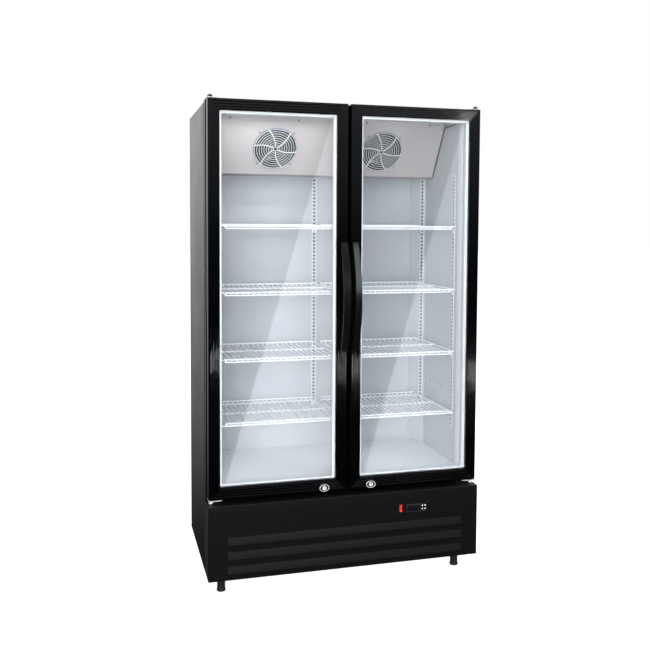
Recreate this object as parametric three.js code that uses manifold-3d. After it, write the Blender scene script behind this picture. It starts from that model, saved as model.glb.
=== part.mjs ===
// Upright two-door glass merchandiser: black insulated cabinet with a bottom-mounted cooling unit,
// a louvred base, two hinged double-glazed doors, eight wire shelves and a sloped evaporator cover.
// Millimetres, +Z up. Front is -Y. Inside the cabinet group y = 0 is the doors' front plane and
// z = 0 is the cabinet's underside; the group itself puts the origin at the bottom centre of the box.
import * as THREE from "three";
import { mergeVertices } from "three/addons/utils/BufferGeometryUtils.js";
import Module from "manifold-3d";

const wasm = await Module();
wasm.setup();

// ---- driving dimensions -------------------------------------------------------------------------
const CLEAR = 0.3; // gap between touching pieces
const SHEET = 1.0; // outer sheet metal
const LINER_SHEET = 0.8;

const HALF_WIDTH = 560;
const BODY_TOP = 1832;
const BODY_BACK = 600;
const FOOT_HEIGHT = 80;
const SKIRT_BOTTOM = -5; // the outer sheets hang this far below the floor of the body

const DOOR_OUTER = 556; // from the centre line to the hinge edge
const DOOR_INNER = 6.5; // from the centre line to the meeting edge
const DOOR_BOTTOM = 308;
const DOOR_TOP = 1839;
const DOOR_DEPTH = 48;
const MEMBER = 46; // visible width of the door frame's stiles and rails
const GLASS_GRIP = 10; // glass held inside the frame, each side
const GLASS_FRONT = 16;
const GLASS_DEPTH = 24;
const PANE = 4;
const PIVOT_X = 545;
const PIVOT_Y = 25;
const PIN_RADIUS = 4;
const PIN_BORE = 4.6;

const GASKET_DEPTH = 14; // room between door and cabinet
const GASKET_WIDTH = 14;
const RING_FRONT = DOOR_DEPTH + GASKET_DEPTH;
const RING_BACK = 90;
const RING_BOTTOM = 290;
const RING_TOP = 1840;
const MULLION_HALF = 42;

const ROOM_HALF = 505; // inside width / 2
const ROOM_FLOOR = 352;
const ROOM_CEILING = 1812;
const ROOM_BACK = 527;
const OPENING_TOP = 1790;
const CORNER_SIDE_Y = 447; // the rear corners are cut off from here ...
const CORNER_BACK_X = 458; // ... to here

const BASE_FRONT = -14;
const BASE_TOP = 287.5;
const BASE_SHEET = 1.2;
const LOUVRE_HALF = 490;
const LOUVRE_BOTTOMS = [20, 77, 134];
const LOUVRE_HEIGHT = 29;
const LOUVRE_REACH = 10;

const SHELF_LOWEST = 574;
const SHELF_PITCH = 263.5;
const SHELF_ROWS = 4;
const SHELF_NEAR = 10; // from the centre line
const SHELF_FAR = 498;
const SHELF_FRONT = 93;
const SHELF_BACK = 490;
const SHELF_CORNER = { x: 474, y: 449 }; // the outer rear corner is cut off from y to x
const SHELF_THICK = 8;

const COVER_TOP = { y: 242, z: 1790 };
const COVER_EDGE = { y: 369, z: 1584 };
const COVER_HALF = 500;
const FAN_X = 235;
const FAN_ALONG = 0.505; // place of the fans' centres down the slope
const FAN_HOLE_RADIUS = 94;

const HANDLE_X = 23;
const HANDLE_WIDTH = 28;
const HANDLE_BOTTOM = 868;
const HANDLE_TOP = 1298;
const HANDLE_FRONT = -62;

const LOCK_X = 97;
const LOCK_Z = 323;
const FOOT_X = 498.5;
const FOOT_FRONT_Y = 75;
const FOOT_BACK_Y = 545;

// ---- materials ----------------------------------------------------------------------------------
const paint = (color, roughness, metalness = 0) =>
  new THREE.MeshStandardMaterial({ color, roughness, metalness });
const BLACK_PAINT = paint(0x16171a, 0.35, 0.3);
const CHARCOAL_PAINT = paint(0x1f2022, 0.55, 0.3);
const FRAME_BLACK = paint(0x0d0e10, 0.3);
const WHITE_LINER = paint(0xe4e7ea, 0.45);
const COVER_GREY = paint(0xd3d2d4, 0.5);
const FOAM = paint(0xd8c98f, 0.9);
const GALVANISED = paint(0xa7abae, 0.45, 0.9);
const ZINC = paint(0xbfc2c4, 0.3, 0.9);
const COPPER_COIL = paint(0x9a9da0, 0.5, 0.9);
const WIRE_WHITE = paint(0xf2f3f4, 0.4);
const BLACK_PLASTIC = paint(0x101113, 0.5);
const RUBBER = paint(0xb2b4b6, 0.8);
const RED_PLASTIC = paint(0xc22a20, 0.3);
const KEY_WHITE = paint(0xe8eaec, 0.5);
const HANDLE_BLACK = paint(0x1c1e22, 0.25);
const CHROME = paint(0xd8dadc, 0.12, 1);
const LAMP_WHITE = paint(0xffffff, 0.4);
const GLASS = new THREE.MeshStandardMaterial({
  color: 0xdfe9ea,
  roughness: 0.05,
  transparent: true,
  opacity: 0.3,
});

// ---- geometry helpers ---------------------------------------------------------------------------
function box(x0, x1, y0, y1, z0, z1) {
  const geometry = new THREE.BoxGeometry(x1 - x0, y1 - y0, z1 - z0);
  return geometry.translate((x0 + x1) / 2, (y0 + y1) / 2, (z0 + z1) / 2);
}

// A cylinder along Y (an axle through the front) or along Z (a pin).
function rodY(x, z, radius, y0, y1, sides = 16) {
  const geometry = new THREE.CylinderGeometry(radius, radius, y1 - y0, sides);
  return geometry.translate(x, (y0 + y1) / 2, z);
}

function rodZ(x, y, radius, z0, z1, sides = 16) {
  const geometry = new THREE.CylinderGeometry(radius, radius, z1 - z0, sides);
  return geometry.rotateX(Math.PI / 2).translate(x, y, (z0 + z1) / 2);
}

// An outline of [x, y] points pulled up from z0 to z1.
function plan(points, z0, z1) {
  const shape = new THREE.Shape(points.map(([x, y]) => new THREE.Vector2(x, y)));
  const geometry = new THREE.ExtrudeGeometry(shape, { depth: z1 - z0, bevelEnabled: false });
  return geometry.translate(0, 0, z0);
}

// An outline of [y, z] points pulled sideways from x0 to x1.
function side(points, x0, x1) {
  const shape = new THREE.Shape(points.map(([y, z]) => new THREE.Vector2(y, z)));
  const geometry = new THREE.ExtrudeGeometry(shape, { depth: x1 - x0, bevelEnabled: false });
  const turn = new THREE.Matrix4().set(0, 0, 1, x0, 1, 0, 0, 0, 0, 1, 0, 0, 0, 0, 0, 1);
  return geometry.applyMatrix4(turn);
}

// The outline of a bent sheet: the points of one face, then the same bend moved to its left by thick.
function bentSheet(points, thick) {
  const corners = points.map(([a, b]) => new THREE.Vector2(a, b));
  const leftOf = (p, q) => {
    const along = q.clone().sub(p).normalize();
    return new THREE.Vector2(-along.y, along.x);
  };
  const moved = corners.map((corner, i) => {
    const before = i > 0 ? leftOf(corners[i - 1], corner) : null;
    const after = i < corners.length - 1 ? leftOf(corner, corners[i + 1]) : null;
    if (!before || !after) return corner.clone().addScaledVector(before || after, thick);
    const mitre = before.clone().add(after);
    return corner.clone().addScaledVector(mitre, (2 * thick) / mitre.lengthSq());
  });
  return [...corners, ...moved.reverse()].map((p) => [p.x, p.y]);
}

function toSolid(geometry) {
  const bare = geometry.clone();
  for (const name of Object.keys(bare.attributes)) {
    if (name !== "position") bare.deleteAttribute(name);
  }
  const merged = mergeVertices(bare, 1e-4);
  return new wasm.Manifold(
    new wasm.Mesh({
      numProp: 3,
      vertProperties: merged.attributes.position.array,
      triVerts: new Uint32Array(merged.index.array),
    }),
  );
}

function fromSolid(solid) {
  const mesh = solid.getMesh();
  const geometry = new THREE.BufferGeometry();
  geometry.setAttribute("position", new THREE.BufferAttribute(mesh.vertProperties, 3));
  geometry.setIndex(new THREE.BufferAttribute(mesh.triVerts, 1));
  const faceted = geometry.toNonIndexed();
  faceted.computeVertexNormals();
  return faceted;
}

function join(...geometries) {
  return fromSolid(geometries.map(toSolid).reduce((a, b) => a.add(b)));
}

function cut(base, ...tools) {
  return fromSolid(tools.map(toSolid).reduce((a, b) => a.subtract(b), toSolid(base)));
}

function common(a, b) {
  return fromSolid(toSolid(a).intersect(toSolid(b)));
}

// ---- the scene graph ----------------------------------------------------------------------------
const merchandiser = new THREE.Group();
const cabinet = new THREE.Group();
cabinet.position.set(0, -(BODY_BACK + HANDLE_FRONT) / 2, FOOT_HEIGHT);
merchandiser.add(cabinet);

function piece(name, geometry, material, parent = cabinet) {
  const mesh = new THREE.Mesh(geometry, material);
  mesh.name = name;
  parent.add(mesh);
  return mesh;
}

// A piece modelled on the right-hand side and its mirror image on the left.
function pair(name, geometry, material, parent = cabinet) {
  piece(name + "_right", geometry, material, parent);
  piece(name + "_left", geometry, material, parent).scale.x = -1;
}

// ---- outer shell --------------------------------------------------------------------------------
const INSIDE_SHELL = HALF_WIDTH - SHEET - CLEAR;

function backPanel() {
  const slots = [];
  for (let row = 0; row < 7; row++) {
    const z = 60 + row * 26;
    slots.push(box(-470, -60, 590, 610, z, z + 12), box(60, 470, 590, 610, z, z + 12));
  }
  const top = BODY_TOP - SHEET - CLEAR;
  const sheet = box(-INSIDE_SHELL, INSIDE_SHELL, BODY_BACK - SHEET, BODY_BACK, SKIRT_BOTTOM, top);
  return cut(sheet, ...slots);
}

function frontFrame() {
  const ring = box(-INSIDE_SHELL, INSIDE_SHELL, RING_FRONT, RING_BACK, RING_BOTTOM, RING_TOP);
  const window = (x0, x1) => box(x0, x1, RING_FRONT - 1, RING_BACK + 1, ROOM_FLOOR, OPENING_TOP);
  return cut(ring, window(-ROOM_HALF, -MULLION_HALF), window(MULLION_HALF, ROOM_HALF));
}

const BEHIND_RING = RING_BACK + CLEAR;
pair(
  "side_panel",
  box(HALF_WIDTH - SHEET, HALF_WIDTH, BEHIND_RING, BODY_BACK, SKIRT_BOTTOM, BODY_TOP),
  BLACK_PAINT,
);
piece(
  "top_panel",
  box(-INSIDE_SHELL, INSIDE_SHELL, BEHIND_RING, BODY_BACK, BODY_TOP - SHEET, BODY_TOP),
  BLACK_PAINT,
);
piece("back_panel", backPanel(), GALVANISED);
piece("front_frame", frontFrame(), FRAME_BLACK);

// ---- insulated room -----------------------------------------------------------------------------
// The room seen from above, grown outwards by the given amount, open at the front.
function roomPlan(grow, front) {
  const sideX = ROOM_HALF + grow;
  const backY = ROOM_BACK + grow;
  return [
    [-sideX, front],
    [sideX, front],
    [sideX, CORNER_SIDE_Y + grow / 2],
    [CORNER_BACK_X + grow / 2, backY],
    [-CORNER_BACK_X - grow / 2, backY],
    [-sideX, CORNER_SIDE_Y + grow / 2],
  ];
}

function insulation() {
  const inset = INSIDE_SHELL - CLEAR;
  const block = box(-inset, inset, BEHIND_RING, BODY_BACK - SHEET - CLEAR, 292, BODY_TOP - SHEET - CLEAR);
  const skin = LINER_SHEET + 2 * CLEAR;
  const hollow = plan(roomPlan(skin, RING_BACK - 10), ROOM_FLOOR - skin, ROOM_CEILING + skin);
  return cut(block, hollow);
}

function linerBack() {
  const face = [
    [ROOM_HALF, CORNER_SIDE_Y],
    [CORNER_BACK_X, ROOM_BACK],
    [-CORNER_BACK_X, ROOM_BACK],
    [-ROOM_HALF, CORNER_SIDE_Y],
  ].reverse();
  return plan(bentSheet(face, LINER_SHEET), ROOM_FLOOR + CLEAR, ROOM_CEILING - CLEAR);
}

piece("insulation_foam", insulation(), FOAM);
pair(
  "liner",
  box(
    ROOM_HALF,
    ROOM_HALF + LINER_SHEET,
    BEHIND_RING,
    CORNER_SIDE_Y - CLEAR,
    ROOM_FLOOR + CLEAR,
    ROOM_CEILING - CLEAR,
  ),
  WHITE_LINER,
);
piece("liner_back", linerBack(), WHITE_LINER);
piece(
  "liner_floor",
  plan(roomPlan(LINER_SHEET, BEHIND_RING), ROOM_FLOOR - LINER_SHEET, ROOM_FLOOR),
  WHITE_LINER,
);
piece(
  "liner_ceiling",
  plan(roomPlan(LINER_SHEET, BEHIND_RING), ROOM_CEILING, ROOM_CEILING + LINER_SHEET),
  WHITE_LINER,
);
piece("lamp_bar", box(-455, 455, 96, 128, ROOM_CEILING - 12, ROOM_CEILING - CLEAR), LAMP_WHITE);

// ---- shelf standards ----------------------------------------------------------------------------
const STANDARD_WIDTH = 24;
const STANDARD_THICK = 2.4;
const STANDARD_TOP = 1580;
const REAR_BOTTOM = 536; // the strips reach just below the lowest shelf
const FRONT_BOTTOM = 502;

// A flat slotted strip whose middle stands at x, y against a wall; angle turns it about Z.
function standard(name, x, y, angle, bottom) {
  const strip = new THREE.BoxGeometry(STANDARD_WIDTH, STANDARD_THICK, STANDARD_TOP - bottom);
  const mesh = piece(name, strip, WIRE_WHITE);
  mesh.position.set(x, y, (STANDARD_TOP + bottom) / 2);
  mesh.rotation.z = angle;
}

const WALL_OFFSET = CLEAR + STANDARD_THICK / 2;
const CORNER_RUN = new THREE.Vector2(CORNER_BACK_X - ROOM_HALF, ROOM_BACK - CORNER_SIDE_Y).normalize();
const CORNER_PLACE = 20; // middle of the rear strips along the cut-off corner
const CORNER_INWARD = new THREE.Vector2(-CORNER_RUN.y, CORNER_RUN.x);
const rearX = ROOM_HALF + CORNER_RUN.x * CORNER_PLACE + CORNER_INWARD.x * WALL_OFFSET;
const rearY = CORNER_SIDE_Y + CORNER_RUN.y * CORNER_PLACE + CORNER_INWARD.y * WALL_OFFSET;
const rearAngle = Math.atan2(CORNER_RUN.y, CORNER_RUN.x);
const FRONT_STANDARD_Y = 134;
const CENTRE_STANDARD_X = -8;

standard("shelf_standard_centre", CENTRE_STANDARD_X, ROOM_BACK - WALL_OFFSET, 0, REAR_BOTTOM);
for (const [sideName, sign] of [["left", -1], ["right", 1]]) {
  const x = sign * (ROOM_HALF - WALL_OFFSET);
  standard("shelf_standard_front_" + sideName, x, FRONT_STANDARD_Y, Math.PI / 2, FRONT_BOTTOM);
  standard("shelf_standard_rear_" + sideName, sign * rearX, rearY, sign * rearAngle, REAR_BOTTOM);
}

// ---- shelves ------------------------------------------------------------------------------------
const SHELF_RIM = 6;
const SHELF_SLOTS = 8;
const SHELF_BAR = 5;

// A flat grille: rim, one middle cross bar and two rows of front-to-back slots.
function shelfGrille() {
  const middle = (SHELF_FRONT + SHELF_BACK) / 2;
  const slotBack = SHELF_CORNER.y - SHELF_RIM;
  const pitch = (SHELF_FAR - SHELF_NEAR - 2 * SHELF_RIM + SHELF_BAR) / SHELF_SLOTS;
  const slots = [];
  for (let i = 0; i < SHELF_SLOTS; i++) {
    const x0 = SHELF_NEAR + SHELF_RIM + i * pitch;
    const x1 = x0 + pitch - SHELF_BAR;
    slots.push(
      box(x0, x1, SHELF_FRONT + SHELF_RIM, middle - SHELF_BAR / 2, -SHELF_THICK - 1, 1),
      box(x0, x1, middle + SHELF_BAR / 2, slotBack, -SHELF_THICK - 1, 1),
    );
  }
  const outline = [
    [SHELF_NEAR, SHELF_FRONT],
    [SHELF_FAR, SHELF_FRONT],
    [SHELF_FAR, SHELF_CORNER.y],
    [SHELF_CORNER.x, SHELF_BACK],
    [SHELF_NEAR, SHELF_BACK],
  ];
  return cut(plan(outline, -SHELF_THICK, 0), ...slots);
}

for (let row = 0; row < SHELF_ROWS; row++) {
  const level = new THREE.Group();
  level.position.z = SHELF_LOWEST + row * SHELF_PITCH;
  cabinet.add(level);
  pair("shelf_" + (row + 1), shelfGrille(), WIRE_WHITE, level);
}

// ---- evaporator behind its sloped cover ---------------------------------------------------------
const slope = new THREE.Vector2(COVER_EDGE.y - COVER_TOP.y, COVER_EDGE.z - COVER_TOP.z);
const SLOPE_ANGLE = Math.atan2(slope.x, -slope.y); // from the vertical
const FAN_Y = COVER_TOP.y + slope.x * FAN_ALONG;
const FAN_Z = COVER_TOP.z + slope.y * FAN_ALONG;

// A frame on the slope: local +Z points out of the cover to the front, local +X stays +X.
function fanMount(sign) {
  const mount = new THREE.Group();
  mount.position.set(sign * FAN_X, FAN_Y, FAN_Z);
  mount.rotation.x = Math.PI / 2 + SLOPE_ANGLE;
  cabinet.add(mount);
  return mount;
}

function evaporatorCover(holes) {
  const bend = [
    [COVER_TOP.y, ROOM_CEILING - 2 * CLEAR],
    [COVER_TOP.y, COVER_TOP.z],
    [COVER_EDGE.y, COVER_EDGE.z],
    [ROOM_BACK - CLEAR, COVER_EDGE.z],
  ];
  const sheet = side(bentSheet(bend, SHEET), -COVER_HALF, COVER_HALF);
  const room = plan(roomPlan(-2 * CLEAR, 0), ROOM_FLOOR, ROOM_CEILING);
  return cut(common(sheet, room), ...holes);
}

const GUARD_RADIUS = 100;
const GUARD_RINGS = [38, 66, 94]; // gaps between the rings start and end at these radii
const GUARD_WIRE = 3;
const GUARD_THICK = 3;
const GUARD_SPOKES = 4;
const GUARD_LIFT = 2; // the guard stands this far off the cover

// A flat ring guard that also carries the fan motor on three arms behind the blades.
function fanGuard() {
  const shape = new THREE.Shape();
  const spokeHalf = GUARD_WIRE / 2;
  const turn = (2 * Math.PI) / GUARD_SPOKES;
  for (let i = 0; i < GUARD_SPOKES; i++) {
    shape.absarc(0, 0, GUARD_RADIUS, i * turn, (i + 1) * turn);
  }
  for (let ring = 0; ring + 1 < GUARD_RINGS.length; ring++) {
    const inner = GUARD_RINGS[ring] + GUARD_WIRE / 2;
    const outer = GUARD_RINGS[ring + 1] - GUARD_WIRE / 2;
    for (let i = 0; i < GUARD_SPOKES; i++) {
      const start = i * turn;
      const end = (i + 1) * turn;
      const gap = new THREE.Path();
      gap.absarc(0, 0, outer, start + spokeHalf / outer, end - spokeHalf / outer, false);
      gap.absarc(0, 0, inner, end - spokeHalf / inner, start + spokeHalf / inner, true);
      gap.closePath();
      shape.holes.push(gap);
    }
  }
  const options = { depth: GUARD_THICK, bevelEnabled: false, curveSegments: 3 };
  const face = new THREE.ExtrudeGeometry(shape, options).translate(0, 0, GUARD_LIFT);
  const can = new THREE.CylinderGeometry(26, 26, 40, 16).rotateX(Math.PI / 2).translate(0, 0, -56);
  const parts = [face, can];
  for (let i = 0; i < 3; i++) {
    const tab = box(86, 96, -4, 4, GUARD_LIFT, GUARD_LIFT + 2);
    const post = box(86, 91, -4, 4, -50, GUARD_LIFT + 1);
    const arm = box(20, 91, -4, 4, -50, -46);
    for (const bar of [tab, post, arm]) {
      parts.push(bar.rotateZ((2 * Math.PI * i) / 3 + Math.PI / 6));
    }
  }
  return join(...parts);
}

// An axial fan along Z: a hub and pitched blades.
function fanBlades(radius, hubRadius, hubDepth, count, chord, pitchAngle) {
  const parts = [new THREE.CylinderGeometry(hubRadius, hubRadius, hubDepth, 16).rotateX(Math.PI / 2)];
  for (let i = 0; i < count; i++) {
    const blade = box(hubRadius - 3, radius, -chord / 2, chord / 2, -0.8, 0.8);
    blade.rotateX(pitchAngle);
    parts.push(blade.rotateZ((2 * Math.PI * i) / count));
  }
  return join(...parts);
}

const coverHoles = [];
for (const [sideName, sign] of [["left", -1], ["right", 1]]) {
  const mount = fanMount(sign);
  mount.updateMatrix();
  const hole = new THREE.CylinderGeometry(FAN_HOLE_RADIUS, FAN_HOLE_RADIUS, 30, 32);
  coverHoles.push(hole.rotateX(Math.PI / 2).applyMatrix4(mount.matrix));
  piece("fan_guard_" + sideName, fanGuard(), WIRE_WHITE, mount);
  const blades = fanBlades(80, 20, 22, 5, 52, Math.PI / 7);
  piece("evaporator_fan_" + sideName, blades, BLACK_PLASTIC, mount).position.z = -20;
}
piece("evaporator_cover", evaporatorCover(coverHoles), COVER_GREY);

function finnedBlock(x0, x1, y0, y1, z0, z1, fins) {
  const pitch = (x1 - x0) / (fins + 1);
  const grooves = [];
  for (let i = 1; i <= fins; i++) {
    const x = x0 + i * pitch;
    grooves.push(box(x - pitch / 4, x + pitch / 4, y0 - 1, y0 + 8, z0 + 6, z1 - 6));
  }
  return cut(box(x0, x1, y0, y1, z0, z1), ...grooves);
}
piece("evaporator_coil", finnedBlock(-440, 440, 405, 500, 1625, 1785, 20), COPPER_COIL);

// ---- base and cooling machine -------------------------------------------------------------------
const SWITCH = { x: 223, z: 217, halfWidth: 6, halfHeight: 13 };
const CONTROLLER = { x0: 244, x1: 333, z0: 197, z1: 232, lip: 1.8 };
const KEY_COLUMNS = [314, 326];
const KEY_ROWS = [210, 224];

function baseFrontPanel() {
  const back = BASE_FRONT + BASE_SHEET;
  const sideBack = RING_BACK;
  const left = box(-HALF_WIDTH, -HALF_WIDTH + BASE_SHEET, BASE_FRONT, sideBack, SKIRT_BOTTOM, BASE_TOP);
  const right = box(HALF_WIDTH - BASE_SHEET, HALF_WIDTH, BASE_FRONT, sideBack, SKIRT_BOTTOM, BASE_TOP);
  const front = box(-HALF_WIDTH, HALF_WIDTH, BASE_FRONT, back, SKIRT_BOTTOM, BASE_TOP);
  const top = box(-HALF_WIDTH, HALF_WIDTH, BASE_FRONT, sideBack, BASE_TOP - BASE_SHEET, BASE_TOP);
  const bottom = box(-HALF_WIDTH, HALF_WIDTH, BASE_FRONT, 12, SKIRT_BOTTOM, SKIRT_BOTTOM + BASE_SHEET);
  const hoods = [];
  const throats = [];
  for (const z0 of LOUVRE_BOTTOMS) {
    const z1 = z0 + LOUVRE_HEIGHT;
    const out = back - LOUVRE_REACH;
    hoods.push(side([[back, z1], [out, z0], [back, z0]], -LOUVRE_HALF, LOUVRE_HALF));
    const inner = LOUVRE_HALF - BASE_SHEET;
    const throat = [[back + 1.3, z1], [out + 1.3, z0], [out + 1.3, z0 - 2], [back + 1.3, z0 - 2]];
    throats.push(side(throat, -inner, inner));
  }
  const shell = join(front, left, right, top, bottom, ...hoods);
  const lip = CONTROLLER.lip;
  return cut(
    shell,
    ...throats,
    box(SWITCH.x - 7.5, SWITCH.x + 7.5, BASE_FRONT - 1, 0, SWITCH.z - 15.5, SWITCH.z + 15.5),
    box(
      CONTROLLER.x0 + lip,
      CONTROLLER.x1 - lip,
      BASE_FRONT - 1,
      0,
      CONTROLLER.z0 + lip,
      CONTROLLER.z1 - lip,
    ),
  );
}

function controllerBezel() {
  const inset = CONTROLLER.lip + CLEAR;
  const face = box(
    CONTROLLER.x0,
    CONTROLLER.x1,
    BASE_FRONT - 3.5,
    BASE_FRONT - CLEAR,
    CONTROLLER.z0,
    CONTROLLER.z1,
  );
  const body = box(
    CONTROLLER.x0 + inset,
    CONTROLLER.x1 - inset,
    BASE_FRONT - 1,
    BASE_FRONT + 44,
    CONTROLLER.z0 + inset,
    CONTROLLER.z1 - inset,
  );
  const pockets = [];
  for (const x of KEY_COLUMNS) {
    for (const z of KEY_ROWS) {
      pockets.push(box(x - 4.9, x + 4.9, BASE_FRONT - 5, BASE_FRONT + 2, z - 3.9, z + 3.9));
    }
  }
  return cut(join(face, body), ...pockets);
}

// A rocker whose upper half is pushed in at rest; its pivot runs along X.
const ROCKER_TILT = THREE.MathUtils.degToRad(7);
const ROCKER_PIVOT_Y = BASE_FRONT + 4;
function rocker() {
  const h = SWITCH.halfHeight;
  const outline = [[-6, 0], [-4.5, h], [2, h], [6, 8], [6, -8], [2, -h], [-4.5, -h]];
  return side(outline, -SWITCH.halfWidth, SWITCH.halfWidth);
}

piece("base_front_panel", baseFrontPanel(), CHARCOAL_PAINT);
piece("controller", controllerBezel(), BLACK_PLASTIC);
KEY_ROWS.forEach((z, row) => {
  KEY_COLUMNS.forEach((x, column) => {
    const key = box(x - 4.5, x + 4.5, BASE_FRONT - 4.7, BASE_FRONT - 0.2, z - 3.5, z + 3.5);
    piece("controller_key_" + (row * 2 + column + 1), key, KEY_WHITE);
  });
});
const rockerMesh = piece("power_switch", rocker(), RED_PLASTIC);
rockerMesh.position.set(SWITCH.x, ROCKER_PIVOT_Y, SWITCH.z);
rockerMesh.rotation.x = -ROCKER_TILT;

const PAN_BOTTOM = 2;
const PAN_SHEET = 1.5;
const STUD_RADIUS = 5;
const feet = [];
for (const [depthName, y] of [["front", FOOT_FRONT_Y], ["rear", FOOT_BACK_Y]]) {
  feet.push(["foot_" + depthName + "_left", -FOOT_X, y], ["foot_" + depthName + "_right", FOOT_X, y]);
}

function basePan() {
  const half = INSIDE_SHELL - 1;
  const inner = half - PAN_SHEET;
  const block = box(-half, half, 16, BODY_BACK - 3, PAN_BOTTOM, 32);
  const trough = box(-inner, inner, 15, BODY_BACK, PAN_BOTTOM + PAN_SHEET, 33);
  const holes = feet.map(([, x, y]) => rodZ(x, y, STUD_RADIUS + 0.6, -2, 10, 8));
  return cut(block, trough, ...holes);
}

// Screw-in levelling foot: flared pad, tapered leg, hexagon and stud.
function foot() {
  const outline = [
    [0, -FOOT_HEIGHT],
    [19, -FOOT_HEIGHT],
    [19, -FOOT_HEIGHT + 5],
    [15.5, -FOOT_HEIGHT + 12],
    [15.5, -12],
    [17.5, -8],
    [17.5, PAN_BOTTOM - CLEAR],
    [STUD_RADIUS, PAN_BOTTOM - CLEAR],
    [STUD_RADIUS, 18],
    [0, 18],
  ];
  const turned = new THREE.LatheGeometry(outline.map(([r, z]) => new THREE.Vector2(r, z)), 12);
  return fromSolid(toSolid(turned.rotateX(Math.PI / 2)));
}

piece("base_pan", basePan(), GALVANISED);
for (const [name, x, y] of feet) {
  piece(name, foot(), BLACK_PLASTIC).position.set(x, y, 0);
}

const COMPRESSOR = { x: -300, y: 360 };
function compressor() {
  const dome = [[0, 10], [88, 10], [95, 30], [95, 130], [88, 165], [62, 188], [30, 196], [0, 198]];
  const body = new THREE.LatheGeometry(dome.map(([r, z]) => new THREE.Vector2(r, z)), 16);
  body.rotateX(Math.PI / 2).translate(COMPRESSOR.x, COMPRESSOR.y, 0);
  const plate = box(COMPRESSOR.x - 120, COMPRESSOR.x + 120, COMPRESSOR.y - 75, COMPRESSOR.y + 75, 8, 12);
  const terminals = box(COMPRESSOR.x - 30, COMPRESSOR.x + 30, COMPRESSOR.y - 112, COMPRESSOR.y - 80, 70, 125);
  const parts = [body, plate, terminals];
  for (const dx of [-105, 105]) {
    for (const dy of [-60, 60]) {
      parts.push(rodZ(COMPRESSOR.x + dx, COMPRESSOR.y + dy, 11, PAN_BOTTOM + PAN_SHEET + CLEAR, 20, 8));
    }
  }
  parts.push(rodZ(COMPRESSOR.x + 60, COMPRESSOR.y, 5, 150, 225, 10));
  return join(...parts);
}

const CONDENSER = { x0: 60, x1: 400, y0: 60, y1: 105, z0: 12, z1: 262 };
const CONDENSER_FAN = { x: 230, y: 150, z: 137, radius: 104 };
const MOTOR_BACK = 235;
function condenserUnit() {
  const c = CONDENSER;
  const shroudBack = 152;
  const duct = cut(
    box(c.x0, c.x1, c.y1 - 1, shroudBack, c.z0, c.z1),
    box(c.x0 + 2, c.x1 - 2, c.y1, shroudBack - 2, c.z0 + 2, c.z1 - 2),
    rodY(CONDENSER_FAN.x, CONDENSER_FAN.z, CONDENSER_FAN.radius + 8, c.y1 + 10, shroudBack + 5, 32),
  );
  const parts = [
    finnedBlock(c.x0, c.x1, c.y0, c.y1, c.z0, c.z1, 14),
    duct,
    box(c.x0, c.x1, c.y0, shroudBack + 60, PAN_BOTTOM + PAN_SHEET + CLEAR, c.z0),
    rodY(CONDENSER_FAN.x, CONDENSER_FAN.z, 40, 180, MOTOR_BACK, 16),
    box(CONDENSER_FAN.x - 12, CONDENSER_FAN.x + 12, 195, 203, 5, CONDENSER_FAN.z),
  ];
  return join(...parts);
}

piece("compressor", compressor(), BLACK_PAINT);
piece("condenser_unit", condenserUnit(), COPPER_COIL);
const condenserFan = new THREE.Group();
condenserFan.position.set(CONDENSER_FAN.x, CONDENSER_FAN.y, CONDENSER_FAN.z);
condenserFan.rotation.x = Math.PI / 2;
cabinet.add(condenserFan);
const condenserBlades = fanBlades(CONDENSER_FAN.radius, 24, 26, 5, 60, Math.PI / 7);
piece("condenser_fan", condenserBlades, BLACK_PLASTIC, condenserFan);

// ---- hinges -------------------------------------------------------------------------------------
const HINGE_PLATE = 3.5;
const HINGE_IN = 500; // the plates reach from here ...
const HINGE_OUT = 557; // ... to here
const BOLT_RADIUS = 13;
const BOLT_HEIGHT = 10;

// A plate over the frame with a packing block behind it, the pin down into the door and a bolt head.
function hingeTop() {
  const floor = RING_TOP + CLEAR;
  const roof = floor + HINGE_PLATE;
  const plate = box(HINGE_IN, HINGE_OUT, 8, 130, floor, roof);
  const packing = box(HINGE_IN, HINGE_OUT, BEHIND_RING, 130, BODY_TOP + CLEAR, floor + 1);
  const pin = rodZ(PIVOT_X, PIVOT_Y, PIN_RADIUS, DOOR_TOP - 11, floor + 1);
  const bolt = new THREE.CylinderGeometry(BOLT_RADIUS / 2, BOLT_RADIUS, BOLT_HEIGHT + 1, 6);
  bolt.rotateX(Math.PI / 2).translate(PIVOT_X - 1, PIVOT_Y, roof + (BOLT_HEIGHT - 1) / 2);
  return join(plate, packing, pin, bolt);
}

function hingeBottom() {
  const top = DOOR_BOTTOM - 2.5;
  const under = top - HINGE_PLATE;
  const flangeBack = RING_FRONT - CLEAR;
  const plate = box(HINGE_IN, HINGE_OUT + 1, 4, flangeBack, under, top);
  const flange = box(HINGE_IN, HINGE_OUT + 1, flangeBack - 3, flangeBack, RING_BOTTOM + 1, top);
  const pin = rodZ(PIVOT_X, PIVOT_Y, PIN_RADIUS, top - 1, DOOR_BOTTOM + 11);
  const washer = rodZ(PIVOT_X, PIVOT_Y, 9, top - 1, DOOR_BOTTOM - CLEAR);
  const nut = rodZ(PIVOT_X, PIVOT_Y, 8, BASE_TOP + 2, under + 1, 6);
  return join(plate, flange, pin, washer, nut);
}

pair("hinge_top", hingeTop(), ZINC);
pair("hinge_bottom", hingeBottom(), ZINC);

// ---- doors --------------------------------------------------------------------------------------
const OPEN_NEAR = DOOR_INNER + MEMBER;
const OPEN_FAR = DOOR_OUTER - MEMBER;
const OPEN_BOTTOM = DOOR_BOTTOM + MEMBER;
const OPEN_UPPER = DOOR_TOP - MEMBER;
const GLASS_BACK = GLASS_FRONT + GLASS_DEPTH;
const LOCK_RADIUS = 8;
const LOCK_REACH = 18;

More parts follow.
